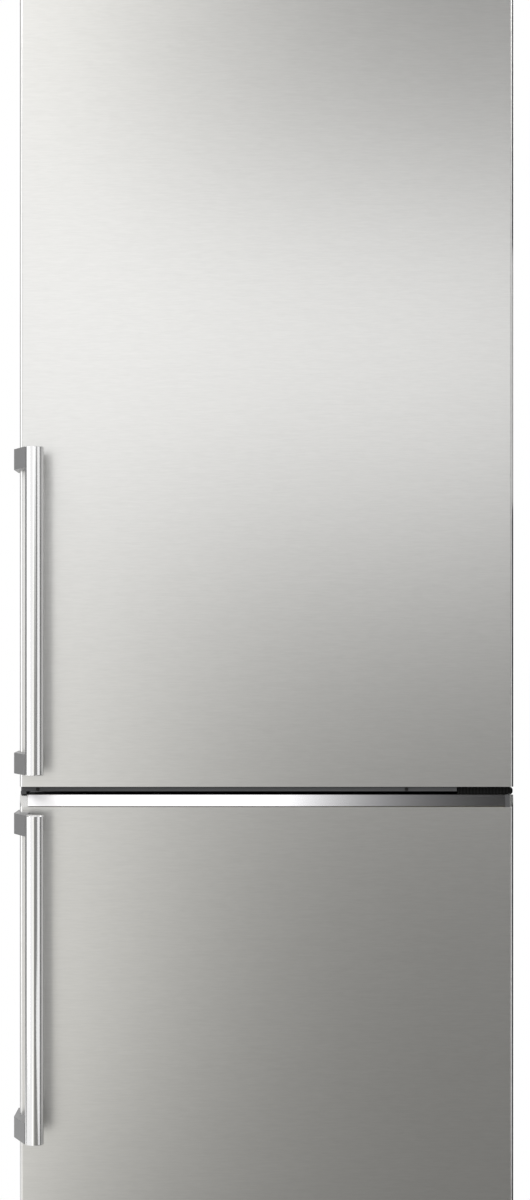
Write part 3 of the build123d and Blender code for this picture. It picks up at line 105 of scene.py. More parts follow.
# Handle brackets: their height, and the flush plug in each plate with the groove round it
BRACKET_HEIGHT = 25.0 * MM
PLUG_RADIUS = 4.5 * MM
PLUG_GROOVE = 0.35 * MM
FACE_TOLERANCE = 0.1 * MM

# Freezer door's top cap: the places past which its front slope has light end pieces; elsewhere the cap is
# painted dark grey as painted shade, the shade on its top in the gap under the fridge door
CAP_LEFT_END = -0.2895
CAP_RIGHT_END = 0.2955
CAP_SLOPE = -0.2895

# Texture settings without a unit, and how strongly clear plastic and glass bend light
NOISE_ROUGHNESS = 0.55
LAMP_RIB_SCALE = 60.0
CLEAR_IOR = 1.49


class Tree:
    """A node tree with short calls to add nodes and to link or set their inputs."""

    def __init__(self, tree):
        self.tree = tree

    def add(self, kind, inputs=None, **settings):
        node = self.tree.nodes.new(kind)
        for name, value in settings.items():
            setattr(node, name, value)
        for name, value in (inputs or {}).items():
            self.feed(node.inputs[name], value)
        return node

    def feed(self, socket, value):
        """Links an output to a socket, or sets the socket's own value."""
        if isinstance(value, bpy.types.NodeSocket):
            self.tree.links.new(value, socket)
        else:
            socket.default_value = value

    def math(self, operation, first, second=0.0, third=0.0):
        node = self.add("ShaderNodeMath", operation=operation)
        for socket, value in zip(node.inputs, (first, second, third)):
            self.feed(socket, value)
        return node.outputs[0]

    def object_place(self):
        """The point's place in the object's own frame, which turns with its body."""
        return self.add("ShaderNodeTexCoord").outputs["Object"]

    def place_along(self):
        """The same place, taken apart along X, Y and Z."""
        return self.add("ShaderNodeSeparateXYZ", {"Vector": self.object_place()}).outputs

    def noise(self, scale, stretch=(1, 1, 1), detail=3.0):
        """Grey noise of so many cells a metre, stretched along the axes."""
        mapping = self.add("ShaderNodeMapping", {"Vector": self.object_place(), "Scale": stretch})
        settings = {"Vector": mapping.outputs[0], "Scale": scale, "Detail": detail}
        settings["Roughness"] = NOISE_ROUGHNESS
        return self.add("ShaderNodeTexNoise", settings).outputs["Fac"]

    def spread(self, grey, low, high, start=0.3, end=0.7):
        """Maps a grey between two values."""
        settings = {"Value": grey, "From Min": start, "From Max": end, "To Min": low, "To Max": high}
        return self.add("ShaderNodeMapRange", settings).outputs[0]

    def polish(self, grey, roughness, shares):
        """A roughness that varies with a grey between two shares of its own value."""
        return self.spread(grey, *(roughness * share for share in shares))

    def colours(self, grey, dark, light, start=0.3, end=0.7):
        """Maps a grey between two colours."""
        ramp = self.add("ShaderNodeValToRGB", {"Fac": grey})
        ramp.color_ramp.elements[0].position = start
        ramp.color_ramp.elements[0].color = (*dark, 1)
        ramp.color_ramp.elements[1].position = end
        ramp.color_ramp.elements[1].color = (*light, 1)
        return ramp.outputs["Color"]

    def bump(self, height, strength, distance):
        """A relief of so many metres, at a share of its strength."""
        settings = {"Height": height, "Strength": strength, "Distance": distance}
        return self.add("ShaderNodeBump", settings).outputs["Normal"]


def new_material(name):
    """A material with an empty node tree and one surface shader."""
    material = bpy.data.materials.new(name)
    material.use_nodes = True
    material.node_tree.nodes.clear()
    tree = Tree(material.node_tree)
    shader = tree.add("ShaderNodeBsdfPrincipled")
    tree.add("ShaderNodeOutputMaterial", {"Surface": shader.outputs[0]})
    return material, tree, shader


def shades(colour, spread):
    """A darker and a lighter shade of a colour."""
    dark = tuple(c * (1 - spread) for c in colour)
    light = tuple(min(1.0, c * (1 + spread)) for c in colour)
    return dark, light


def brushed_steel(name, colour, roughness, along, anisotropy, streak):
    """Brushed steel: fine streaks along one axis, X or Z, spread the reflection across them."""
    material, tree, shader = new_material(name)
    fine_cells, long_cells = STREAK_CELLS[along]
    fine = tree.noise(1.0, fine_cells, detail=2.0)
    long = tree.noise(1.0, long_cells, detail=3.0)
    grain = tree.math("MULTIPLY_ADD", fine, FINE_SHARE, tree.math("MULTIPLY", long, 1.0 - FINE_SHARE))
    tree.feed(shader.inputs["Base Color"], tree.colours(grain, *shades(colour, streak)))
    tree.feed(shader.inputs["Roughness"], tree.polish(grain, roughness, STREAK_POLISH))
    tree.feed(shader.inputs["Normal"], tree.bump(grain, strength=0.001, distance=0.2 * MM))
    shader.inputs["Metallic"].default_value = 1.0
    shader.inputs["Anisotropic"].default_value = anisotropy
    shader.inputs["Anisotropic Rotation"].default_value = STREAK_TURN[along]
    tangent = tree.add("ShaderNodeTangent", direction_type="RADIAL", axis="Z")
    tree.feed(shader.inputs["Tangent"], tangent.outputs[0])
    return material


def bright_strip(name, colour, roughness, end_roughness, end_place, end_run):
    """Polished metal, dulled towards its left end."""
    material, tree, shader = new_material(name)
    grain = tree.noise(1.0, STRIP_CELLS, detail=2.0)
    across = tree.place_along()["X"]
    dulled = tree.spread(across, end_roughness, roughness, end_place, end_place + end_run)
    uneven = tree.spread(grain, *STRIP_POLISH)
    tree.feed(shader.inputs["Base Color"], tree.colours(grain, *shades(colour, spread=0.01)))
    tree.feed(shader.inputs["Roughness"], tree.math("MULTIPLY", dulled, uneven))
    shader.inputs["Metallic"].default_value = 1.0
    return material


def bare_metal(name, colour, roughness, mottle):
    """Plain metal with cloudy oxide."""
    material, tree, shader = new_material(name)
    cloud = tree.noise(OXIDE_CELLS, detail=4.0)
    grain = tree.noise(METAL_CELLS)
    tree.feed(shader.inputs["Base Color"], tree.colours(cloud, *shades(colour, mottle)))
    tree.feed(shader.inputs["Roughness"], tree.polish(cloud, roughness, METAL_POLISH))
    tree.feed(shader.inputs["Normal"], tree.bump(grain, strength=0.05, distance=0.2 * MM))
    shader.inputs["Metallic"].default_value = 1.0
    return material


def zinc_sheet(name, colour):
    """Zinc-plated sheet with the crystals of its coating."""
    material, tree, shader = new_material(name)
    crystals = tree.add("ShaderNodeTexVoronoi", {"Vector": tree.object_place(), "Scale": CRYSTAL_CELLS})
    grey = tree.add("ShaderNodeSeparateColor", {"Color": crystals.outputs["Color"]}).outputs[0]
    tree.feed(shader.inputs["Base Color"], tree.colours(grey, *shades(colour, spread=0.10), *WHOLE_RANGE))
    tree.feed(shader.inputs["Roughness"], tree.spread(grey, *ZINC_ROUGHNESS, *WHOLE_RANGE))
    shader.inputs["Metallic"].default_value = 1.0
    return material


def coated(name, colour, roughness, scale, depth, tone=0.02, coat=0.0, gloss=0.5):
    """Paint or moulded plastic: an even colour with a fine surface grain."""
    material, tree, shader = new_material(name)
    cloud = tree.noise(CLOUD_CELLS, detail=2.0)
    grain = tree.noise(scale, detail=2.0)
    tree.feed(shader.inputs["Base Color"], tree.colours(cloud, *shades(colour, tone)))
    tree.feed(shader.inputs["Roughness"], tree.polish(grain, roughness, COAT_POLISH))
    tree.feed(shader.inputs["Normal"], tree.bump(grain, strength=0.25, distance=depth))
    shader.inputs["Coat Weight"].default_value = coat
    shader.inputs["Specular IOR Level"].default_value = gloss
    return material


def two_tone_cap(name, colour, end_colour, left_x, right_x, slope_y):
    """Moulding painted dark as painted shade, but bright on the front slope, left of one place and right of
    another.
    """
    material, tree, shader = new_material(name)
    place = tree.place_along()
    past_left = tree.math("LESS_THAN", place["X"], left_x)
    past_right = tree.math("GREATER_THAN", place["X"], right_x)
    on_slope = tree.math("LESS_THAN", place["Y"], slope_y)
    # Painted shade: all of the cap but the end pieces of its front slope takes the dark colour of its shaded
    # top in the gap
    unshaded_ends = tree.math("MULTIPLY", tree.math("MAXIMUM", past_left, past_right), on_slope)
    tree.feed(shader.inputs["Base Color"], tree.colours(unshaded_ends, colour, end_colour, *WHOLE_RANGE))
    tree.feed(shader.inputs["Metallic"], unshaded_ends)
    tree.feed(shader.inputs["Roughness"], tree.spread(unshaded_ends, *CAP_ROUGHNESS, *WHOLE_RANGE))
    tree.feed(shader.inputs["Normal"], tree.bump(tree.noise(CAP_CELLS), strength=0.05, distance=0.3 * MM))
    return material


def plugged(name, colour, face_x, plug_y, plug_levels):
    """Moulding with a round flush plug, inside a fine groove, at some levels of its left face."""
    material, tree, shader = new_material(name)
    place = tree.place_along()
    along = tree.math("POWER", tree.math("SUBTRACT", place["Y"], plug_y), 2.0)
    nearest = 1.0
    for level in plug_levels:
        up = tree.math("POWER", tree.math("SUBTRACT", place["Z"], level), 2.0)
        nearest = tree.math("MINIMUM", tree.math("SQRT", tree.math("ADD", along, up)), nearest)
    from_rim = tree.math("ABSOLUTE", tree.math("SUBTRACT", nearest, PLUG_RADIUS))
    ring = tree.math("LESS_THAN", from_rim, PLUG_GROOVE)
    groove = tree.math("MULTIPLY", ring, tree.math("LESS_THAN", place["X"], face_x))
    grain = tree.noise(BRACKET_CELLS, detail=2.0)
    tree.feed(shader.inputs["Base Color"], tree.colours(groove, colour, PLUG_SHADE, *WHOLE_RANGE))
    tree.feed(shader.inputs["Roughness"], tree.spread(grain, *BRACKET_ROUGHNESS))
    tree.feed(shader.inputs["Normal"], tree.bump(grain, strength=0.25, distance=0.2 * MM))
    shader.inputs["Coat Weight"].default_value = 0.1
    return material


def ribbed_cover(name, colour, ribs):
    """Dark moulding with fine upright ribs, so many a metre."""
    material, tree, shader = new_material(name)
    turns = tree.math("MULTIPLY", tree.place_along()["X"], 2 * math.pi * ribs)
    rib = tree.math("MULTIPLY_ADD", tree.math("SINE", turns), 0.5, 0.5)
    # Painted shade: the colour is darker in the troughs between the ribs and lighter on their crests
    tree.feed(shader.inputs["Base Color"], tree.colours(rib, *shades(colour, spread=0.5), *WHOLE_RANGE))
    tree.feed(shader.inputs["Normal"], tree.bump(rib, strength=0.6, distance=0.5 * MM))
    shader.inputs["Roughness"].default_value = 0.45
    shader.inputs["Specular IOR Level"].default_value = 0.06
    return material


def clear(name, colour, roughness, transmission, scale):
    """Clear plastic or glass, with a faint unevenness in its polish."""
    material, tree, shader = new_material(name)
    cloud = tree.noise(scale, detail=2.0)
    tree.feed(shader.inputs["Base Color"], tree.colours(cloud, *shades(colour, spread=0.02)))
    tree.feed(shader.inputs["Roughness"], tree.polish(cloud, roughness, CLEAR_POLISH))
    shader.inputs["Transmission Weight"].default_value = transmission
    shader.inputs["IOR"].default_value = CLEAR_IOR
    return material


def foam(name, colour):
    """Rigid foam: small cells in an uneven tone."""
    material, tree, shader = new_material(name)
    cells = tree.add("ShaderNodeTexVoronoi", {"Vector": tree.object_place(), "Scale": FOAM_CELLS})
    cloud = tree.noise(FOAM_CLOUD_CELLS)
    tree.feed(shader.inputs["Base Color"], tree.colours(cloud, *shades(colour, spread=0.08)))
    tree.feed(shader.inputs["Normal"], tree.bump(cells.outputs["Distance"], strength=0.5, distance=0.5 * MM))
    shader.inputs["Roughness"].default_value = 0.9
    return material


def lamp_cover(name, colour):
    """Opal lamp cover with fine ribs that spread the light."""
    material, tree, shader = new_material(name)
    settings = {"Vector": tree.object_place(), "Scale": LAMP_RIB_SCALE}
    ribs = tree.add("ShaderNodeTexWave", settings).outputs["Fac"]
    # Painted shade: the colour is darker in the troughs between the ribs and lighter on their crests
    tree.feed(shader.inputs["Base Color"], tree.colours(ribs, *shades(colour, spread=0.03), *WHOLE_RANGE))
    tree.feed(shader.inputs["Normal"], tree.bump(ribs, strength=0.4, distance=0.4 * MM))
    shader.inputs["Roughness"].default_value = 0.3
    shader.inputs["Transmission Weight"].default_value = 0.35
    return material


# Look, colour and settings of each material slot
LOOKS = {
    "door_steel": (
        brushed_steel,
        (0.64, 0.6375, 0.627),
        dict(roughness=0.28, along="X", anisotropy=0.1, streak=0.034),
    ),
    "handle_steel": (
        brushed_steel,
        (0.85, 0.85, 0.85),
        dict(roughness=0.12, along="Z", anisotropy=0.2, streak=0.015),
    ),
    "bright_trim": (
        bright_strip,
        (0.90, 0.895, 0.91),
        dict(roughness=0.07, end_roughness=0.36, end_place=-0.262, end_run=35 * MM),
    ),
    "bracket_grey": (coated, BRACKET_GREY, dict(roughness=0.42, scale=1400.0, depth=0.2 * MM, coat=0.1)),
    "cabinet_paint": (
        coated,
        (0.42, 0.43, 0.44),
        dict(roughness=0.38, scale=700.0, depth=0.3 * MM, tone=0.006, coat=0.15),
    ),
    "zinc_steel": (zinc_sheet, (0.62, 0.63, 0.64), {}),
    "light_grey_plastic": (coated, (0.60, 0.60, 0.60), dict(roughness=0.40, scale=1100.0, depth=0.3 * MM)),
    "dark_grey_plastic": (coated, DARK_GREY, dict(roughness=0.45, scale=1100.0, depth=0.4 * MM, gloss=0.35)),
    "black_plastic": (
        coated,
        (0.010, 0.010, 0.010),
        dict(roughness=0.45, scale=1100.0, depth=0.3 * MM, gloss=0.2),
    ),
    "white_liner": (
        coated,
        (0.80, 0.81, 0.81),
        dict(roughness=0.28, scale=500.0, depth=0.2 * MM, tone=0.015, coat=0.2),
    ),
    "clear_plastic": (clear, (0.955, 0.975, 0.985), dict(roughness=0.08, transmission=0.92, scale=14.0)),
    "shelf_glass": (clear, (0.88, 0.96, 0.94), dict(roughness=0.02, transmission=1.0, scale=6.0)),
    "seal_rubber": (coated, (0.30, 0.30, 0.31), dict(roughness=0.60, scale=1500.0, depth=0.3 * MM)),
    "foam": (foam, (0.78, 0.70, 0.45), {}),
    "compressor_black": (
        coated,
        (0.016, 0.016, 0.017),
        dict(roughness=0.22, scale=420.0, depth=0.4 * MM, coat=0.5),
    ),
    "condenser_black": (coated, (0.02, 0.02, 0.021), dict(roughness=0.38, scale=800.0, depth=0.3 * MM)),
    "copper": (bare_metal, (0.76, 0.40, 0.26), dict(roughness=0.28, mottle=0.16)),
    "evaporator_alu": (bare_metal, (0.78, 0.79, 0.80), dict(roughness=0.35, mottle=0.08)),
    "evaporator_wire": (coated, (0.76, 0.77, 0.78), dict(roughness=0.40, scale=900.0, depth=0.3 * MM)),
    "lamp_plastic": (lamp_cover, (0.90, 0.91, 0.90), {}),
    "grommet_rubber": (coated, (0.03, 0.03, 0.03), dict(roughness=0.65, scale=1500.0, depth=0.3 * MM)),
}
MATERIALS = {slot: look(slot, colour, **settings) for slot, (look, colour, settings) in LOOKS.items()}


def bracket_material(door):
    """The brackets of a door, each with a plug in the middle of its plate on the door's side."""
    low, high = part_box(f"{door}_handle_brackets")
    plug_y = (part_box(f"{door}_door_skin")[0].y + high.y) / 2
    levels = (low.z + BRACKET_HEIGHT / 2, high.z - BRACKET_HEIGHT / 2)
    return plugged(f"{door}_brackets", BRACKET_GREY, low.x + FACE_TOLERANCE, plug_y, levels)


# Nodes whose look differs from the one of their slot
NODE_MATERIALS = {
    # The freezer door's top cap is painted dark grey as painted shade, with light end pieces
    "freezer_door_top_cap": two_tone_cap(
        "two_tone_cap", DARK_GREY, CAP_END_COLOUR, CAP_LEFT_END, CAP_RIGHT_END, CAP_SLOPE
    ),
    "middle_hinge_cover": ribbed_cover("ribbed_cover", COVER_BLACK, COVER_RIBS),
    "fridge_handle_brackets": bracket_material("fridge"),
    "freezer_handle_brackets": bracket_material("freezer"),
}


def finish_cad_nodes():
    """Gives each CAD node its own material, or else the one of its slot."""
    for part in frame["record"]["subparts"]:
        mesh = nodes[part["node"]].data
        mesh.materials.clear()
        mesh.materials.append(NODE_MATERIALS.get(part["node"], MATERIALS[part["material_slot"]]))


finish_cad_nodes()


def add_piece(name, mesh, body, slot):
    """A new piece that rides on a body and takes the finish of a slot."""
    mesh.materials.clear()
    mesh.materials.append(MATERIALS[slot])
    piece = bpy.data.objects.new(name, mesh)
    bpy.context.scene.collection.objects.link(piece)
    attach(piece, body)


def built_mesh(name, build):
    """The mesh of a finished construction."""
    mesh = bpy.data.meshes.new(name)
    build.to_mesh(mesh)
    build.free()
    return mesh


SMOOTH_DEGREES = 35


def smooth_by_angle(mesh):
    """Smooth shading, with the edges that turn more than an angle left sharp."""
    mesh.shade_smooth()
    mesh.set_sharp_from_angle(angle=math.radians(SMOOTH_DEGREES))


# Screws: a low domed head with a hexagon socket, in shares of its radius and height
SCREW_SEGMENTS = 24
SCREW_ANGLES = [2 * math.pi * i / SCREW_SEGMENTS for i in range(SCREW_SEGMENTS)]
SCREW_PROFILE = ((1.0, 0.0), (1.0, 0.35), (0.86, 0.8), (0.66, 1.0))
SOCKET_SHARE = 0.45
SOCKET_SIDES = 6
SOCKET_LEVELS = (1.0, 0.3)


def socket_radius(angle, across):
    """Distance from the middle to a hexagon's side in a direction."""
    half_side = math.pi / SOCKET_SIDES
    return across * math.cos(half_side) / math.cos((angle % (2 * half_side)) - half_side)


def screw_rings(radius, height):
    """Radius and level of each ring of a screw head, from its rim to the socket's floor."""
    rings = [[(share * radius, rise * height)] * SCREW_SEGMENTS for share, rise in SCREW_PROFILE]
    for level in SOCKET_LEVELS:
        rings.append([(socket_radius(a, SOCKET_SHARE * radius), level * height) for a in SCREW_ANGLES])
    return rings


def add_screw(build, place, axis, radius, height):
    """Adds one screw head to a mesh under construction."""
    turn = Vector(axis).to_track_quat("Z", "Y").to_matrix().to_4x4()
    matrix = Matrix.Translation(Vector(place)) @ turn
    loops = []
    for ring in screw_rings(radius, height):
        points = [Vector((r * math.cos(a), r * math.sin(a), z)) for a, (r, z) in zip(SCREW_ANGLES, ring)]
        loops.append([build.verts.new(matrix @ point) for point in points])
    for low, high in zip(loops, loops[1:]):
        for i in range(SCREW_SEGMENTS):
            j = (i + 1) % SCREW_SEGMENTS
            build.faces.new((low[i], low[j], high[j], high[i]))
    build.faces.new(loops[-1])
    build.faces.new(list(reversed(loops[0])))


def add_screws(name, body, slot, head, axis, places):
    """One piece that holds a group of screw heads of one radius and height."""
    build = bmesh.new()
    for place in places:
        add_screw(build, place, axis, *head)
    mesh = built_mesh(name, build)
    smooth_by_angle(mesh)
    add_piece(name, mesh, body, slot)


# Heads: radius and height
HINGE_SCREW = (3.6 * MM, 1.6 * MM)
BACK_SCREW = (4.0 * MM, 2.0 * MM)
COMPRESSOR_BOLT = (6.0 * MM, 4.0 * MM)
LEDGE_PLUG = (2.3 * MM, 0.3 * MM)

# Places of the heads
HINGE_LEG = 3.0 * MM
HINGE_SCREW_RISE = 8.0 * MM
HINGE_SCREW_SHARES = (0.2, 0.55)
BACK_INSET = 9.0 * MM
BACK_MARGIN = 30.0 * MM
BACK_ROWS = 8
BACK_HEAD_SHARES = (0.25, 0.5, 0.75)
GROMMET_RADIUS = 13.0 * MM
LEDGE_PLUG_X = (-0.278, 0.170)


def hinge_screws():
    """Two screws in the leg of the middle and of the bottom hinge."""
    places = []
    for node in ("middle_hinge", "bottom_hinge"):
        low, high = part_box(node)
        base = (low.z + high.z) / 2 if node == "middle_hinge" else low.z
        for share in HINGE_SCREW_SHARES:
            x = low.x + share * (high.x - low.x)
            places.append((x, high.y - HINGE_LEG, base + HINGE_SCREW_RISE))
    add_screws("hinge_screws", "cabinet", "zinc_steel", HINGE_SCREW, FRONT, places)


def back_screws():
    """Screws along both edges and the head of the back panel."""
    low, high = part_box("back_panel")
    shell_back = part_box("cabinet_shell")[1].y
    pitch = (high.z - low.z - 2 * BACK_MARGIN) / (BACK_ROWS - 1)
    places = []
    for i in range(BACK_ROWS):
        for x in (low.x + BACK_INSET, high.x - BACK_INSET):
            places.append((x, shell_back, low.z + BACK_MARGIN + i * pitch))
    for share in BACK_HEAD_SHARES:
        places.append((low.x + share * (high.x - low.x), shell_back, high.z - BACK_INSET))
    add_screws("back_panel_screws", "cabinet", "zinc_steel", BACK_SCREW, BACK, places)


def compressor_bolts():
    """A bolt head on each rubber grommet of the compressor."""
    low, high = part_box("compressor_grommets")
    places = [
        (x, y, high.z)
        for x in (low.x + GROMMET_RADIUS, high.x - GROMMET_RADIUS)
        for y in (low.y + GROMMET_RADIUS, high.y - GROMMET_RADIUS)
    ]
    add_screws("compressor_bolts", "cabinet", "zinc_steel", COMPRESSOR_BOLT, UP, places)


def ledge_plugs():
    """Two dark plugs in the front of the moulded ledge under the fridge door."""
    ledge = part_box("fridge_door_bottom_cap")[0]
    level = (ledge.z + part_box("fridge_door_skin")[0].z) / 2
    places = [(x, ledge.y, level) for x in LEDGE_PLUG_X]
    add_screws("ledge_plugs", "fridge_door", "black_plastic", LEDGE_PLUG, FRONT, places)


# Small upright mouldings: webs behind the brackets' arms, which rise with a slope, and a lip at the foot
ARC_STEPS = 6
DOOR_EDGE_RADIUS = 4.0 * MM
ARM_FOOT = 8.25 * MM
ARM_SLOPE = 28.75 / 22.0
WEB_WIDTH = 12.0 * MM
LIP_RADIUS = 2.5 * MM
LIP_WIDTH = 7.0 * MM
LIP_LENGTH = 50.0 * MM
LIP_CLEARANCE = 1.0 * MM


def corner_arc(x, y, radius):
    """Points round the front left corner of a plan, from its side to its front."""
    turns = [math.radians(90.0 * step / ARC_STEPS) for step in range(ARC_STEPS + 1)]
    return [(x + radius * (1 - math.cos(a)), y + radius * (1 - math.sin(a))) for a in turns]


def add_prisms(name, body, slot, outline, spans):
    """One piece of upright prisms over one plan, each from a lower to an upper level."""
    build = bmesh.new()
    for bottom, top in spans:
        floor = [build.verts.new((x, y, bottom)) for x, y in outline]
        roof = [build.verts.new((x, y, top)) for x, y in outline]
        build.faces.new(floor)
        build.faces.new(list(reversed(roof)))
        for i in range(len(outline)):
            build.faces.new((floor[i], roof[i], roof[i - 1], floor[i - 1]))
    bmesh.ops.recalc_face_normals(build, faces=build.faces)
    mesh = built_mesh(name, build)
    smooth_by_angle(mesh)
    add_piece(name, mesh, body, slot)


def bracket_webs(door):
    """A web in the corner between the door and the arm of each bracket on its bar."""
    low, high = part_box(f"{door}_handle_brackets")
    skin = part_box(f"{door}_door_skin")[0]
    web_end = skin.x + WEB_WIDTH
    outline = [(skin.x, skin.y - ARM_FOOT), *corner_arc(skin.x, skin.y, DOOR_EDGE_RADIUS)]
    outline += [(web_end, skin.y), (web_end, skin.y - ARM_FOOT - ARM_SLOPE * WEB_WIDTH)]
    spans = [(low.z, low.z + BRACKET_HEIGHT), (high.z - BRACKET_HEIGHT, high.z)]
    add_prisms(f"{door}_bracket_webs", f"{door}_door", "bracket_grey", outline, spans)


def foot_lip():
    """A lip under the left end of the fridge door's foot, which closes the gap from the side."""
    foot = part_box("fridge_door_bottom_cap")[0]
    freezer_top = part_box("freezer_door_top_cap")[1].z
    outline = corner_arc(foot.x, foot.y, LIP_RADIUS)
    outline += [(foot.x + LIP_WIDTH, foot.y), (foot.x + LIP_WIDTH, foot.y + LIP_LENGTH)]
    outline.append((foot.x, foot.y + LIP_LENGTH))
    spans = [(freezer_top + LIP_CLEARANCE, foot.z)]
    add_prisms("foot_lip", "fridge_door", "dark_grey_plastic", outline, spans)


bracket_webs("fridge")
bracket_webs("freezer")
foot_lip()
ledge_plugs()
hinge_screws()
back_screws()
compressor_bolts()


# Signs on the controls: plain numbers on the dial and a cold mark on the button
DIAL_NUMBERS = 6
DIAL_SPAN = 270.0
DIAL_RIM = 6.0 * MM
DIAL_RING = 10.6 * MM
NUMBER_SIZE = 4.2 * MM
SIGN_DEPTH = 0.12 * MM
RAY_LENGTH = 7.0 * MM
RAY_WIDTH = 0.7 * MM
RAY_TURNS = (0, 60, 120)


def number_mesh(name, number):
    """A mesh of one raised number, centred, facing +Z."""
    curve = bpy.data.curves.new(name, "FONT")
    curve.body = str(number)
    curve.size = NUMBER_SIZE
    curve.extrude = SIGN_DEPTH
    curve.align_x = "CENTER"
    curve.align_y = "CENTER"
    holder = bpy.data.objects.new(name, curve)
    bpy.context.scene.collection.objects.link(holder)
    bpy.context.view_layer.update()
    mesh = bpy.data.meshes.new_from_object(holder)
    bpy.data.objects.remove(holder)
    return mesh


def facing_front(place, degrees=0.0):
    """Placement of a sign on a face that looks to the front, turned about the view."""
    upright = Matrix.Rotation(math.radians(90), 4, "X")
    return Matrix.Translation(Vector(place)) @ upright @ Matrix.Rotation(math.radians(degrees), 4, "Z")


def dial_numbers():
    """Numbers round the rim of the thermostat knob, the first at the bottom left."""
    low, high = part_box("thermostat_knob")
    centre_x = (low.x + high.x) / 2
    centre_z = (low.z + high.z) / 2
    for i in range(DIAL_NUMBERS):
        angle = DIAL_SPAN / 2 - i * DIAL_SPAN / (DIAL_NUMBERS - 1)
        x = centre_x - DIAL_RING * math.sin(math.radians(angle))
        z = centre_z + DIAL_RING * math.cos(math.radians(angle))
        mesh = number_mesh(f"dial_number_{i}", i)
        mesh.transform(facing_front((x, low.y + DIAL_RIM, z), angle))
        add_piece(f"dial_number_{i}", mesh, "thermostat_knob", "dark_grey_plastic")


def cold_mark():
    """A plain six-rayed mark on the fast-freeze button."""
    low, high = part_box("freeze_button")
    place = ((low.x + high.x) / 2, low.y, (low.z + high.z) / 2)
    ray = Matrix.Diagonal((RAY_LENGTH, RAY_WIDTH, 2 * SIGN_DEPTH, 1))
    build = bmesh.new()
    for degrees in RAY_TURNS:
        bmesh.ops.create_cube(build, size=1.0, matrix=Matrix.Rotation(math.radians(degrees), 4, "Z") @ ray)
    mesh = built_mesh("cold_mark", build)
    mesh.transform(facing_front(place))
    add_piece("cold_mark", mesh, "freeze_button", "dark_grey_plastic")


dial_numbers()
cold_mark()


def emission_material(name):
    """A stage material that shines, found by rays alone and not sampled as a lamp."""
    material = bpy.data.materials.new(name)
    material.cycles.emission_sampling = "NONE"
    material.use_nodes = True
    material.node_tree.nodes.clear()
    tree = Tree(material.node_tree)
    emission = tree.add("ShaderNodeEmission")
    tree.add("ShaderNodeOutputMaterial", {"Surface": emission.outputs[0]})
    return material, tree, emission


def add_quad(name, corner, across, up, material):
    """A stage object of one four-sided face."""
    mesh = bpy.data.meshes.new(name)
    corner, across, up = Vector(corner), Vector(across), Vector(up)
    mesh.from_pydata([corner, corner + across, corner + across + up, corner + up], [], [(0, 1, 2, 3)])
    mesh.materials.append(material)
    quad = bpy.data.objects.new(name, mesh)
    bpy.context.scene.collection.objects.link(quad)
    return quad


def add_card(name, corner, across, up, material):
    """A studio card that only reflections show."""
    card = add_quad(name, corner, across, up, material)
    for rays in ("camera", "diffuse", "transmission", "volume_scatter", "shadow"):
        setattr(card, f"visible_{rays}", False)


# Card behind the camera: a bright band across it and a bright left edge on a grey ground
CARD_Y = -3.20
CARD_LEFT = -0.86
CARD_RIGHT = 0.95
CARD_FOOT = 0.006
CARD_TOP = 2.62
APRON_BACK = -0.36
UPPER_RISE = 0.80
CARD_GREY = 0.212
CARD_WARMTH = (1.0, 0.988, 0.944)
BAND_LEVEL = 1.778
BAND_RISE = 0.375
BAND_FALL = 0.640
BAND_LIGHT = 1.375
BAND_WHITE = 0.6
EDGE_PLACE = -0.42
EDGE_WIDTH = 0.235
EDGE_LIGHT = 0.62
EDGE_CAP = 0.65
EDGE_SHARE_IN_BAND = 0.005
TILT_FOOT = 1.90
TILT = -0.70


def front_card():
    """The card behind the camera, its apron on the floor and its part above."""
    material, tree, emission = emission_material("front_card")
    place = tree.place_along()
    above = tree.math("GREATER_THAN", place["Z"], BAND_LEVEL)
    width = tree.math("MULTIPLY_ADD", above, BAND_RISE - BAND_FALL, BAND_FALL)
    from_band = tree.math("DIVIDE", tree.math("SUBTRACT", place["Z"], BAND_LEVEL), width)
    band = tree.math("EXPONENT", tree.math("MULTIPLY", tree.math("MULTIPLY", from_band, from_band), -1.0))
    from_edge = tree.math("DIVIDE", tree.math("SUBTRACT", EDGE_PLACE, place["X"]), EDGE_WIDTH)
    glow = tree.math("EXPONENT", tree.math("MINIMUM", from_edge, EDGE_CAP))
    edge = tree.math("MULTIPLY", glow, EDGE_LIGHT)
    kept = tree.math("MULTIPLY_ADD", band, EDGE_SHARE_IN_BAND - 1.0, 1.0)
    ground = tree.math("MULTIPLY_ADD", edge, kept, CARD_GREY)
    light = tree.math("MULTIPLY_ADD", band, BAND_LIGHT, ground)
    over = tree.math("MAXIMUM", tree.math("SUBTRACT", place["Z"], TILT_FOOT), 0.0)
    tilt = tree.math("MULTIPLY", tree.math("MULTIPLY", over, place["X"]), TILT)
    tree.feed(emission.inputs["Strength"], tree.math("MULTIPLY_ADD", light, tilt, light))
    tree.feed(emission.inputs["Color"], tree.colours(band, CARD_WARMTH, WHITE, 0.0, BAND_WHITE))
    across = (CARD_RIGHT - CARD_LEFT, 0, 0)
    corner = (CARD_LEFT, CARD_Y, CARD_FOOT)
    upper_corner = (CARD_LEFT, CARD_Y, CARD_FOOT + CARD_TOP)
    add_card("front_card", corner, across, (0, 0, CARD_TOP), material)
    add_card("apron_card", corner, across, (0, APRON_BACK - CARD_Y, 0), material)
    add_card("upper_card", upper_corner, across, (0, 0, UPPER_RISE), material)


# Card overhead, which the sloping strip shows: bright at the left, and fading to the right
OVERHEAD_LEFT = -1.0
OVERHEAD_WIDTH = 2.2
OVERHEAD_DEPTH = 0.4
OVERHEAD_BRIGHT = 1.30
OVERHEAD_START = 0.06
OVERHEAD_FADE = 0.175


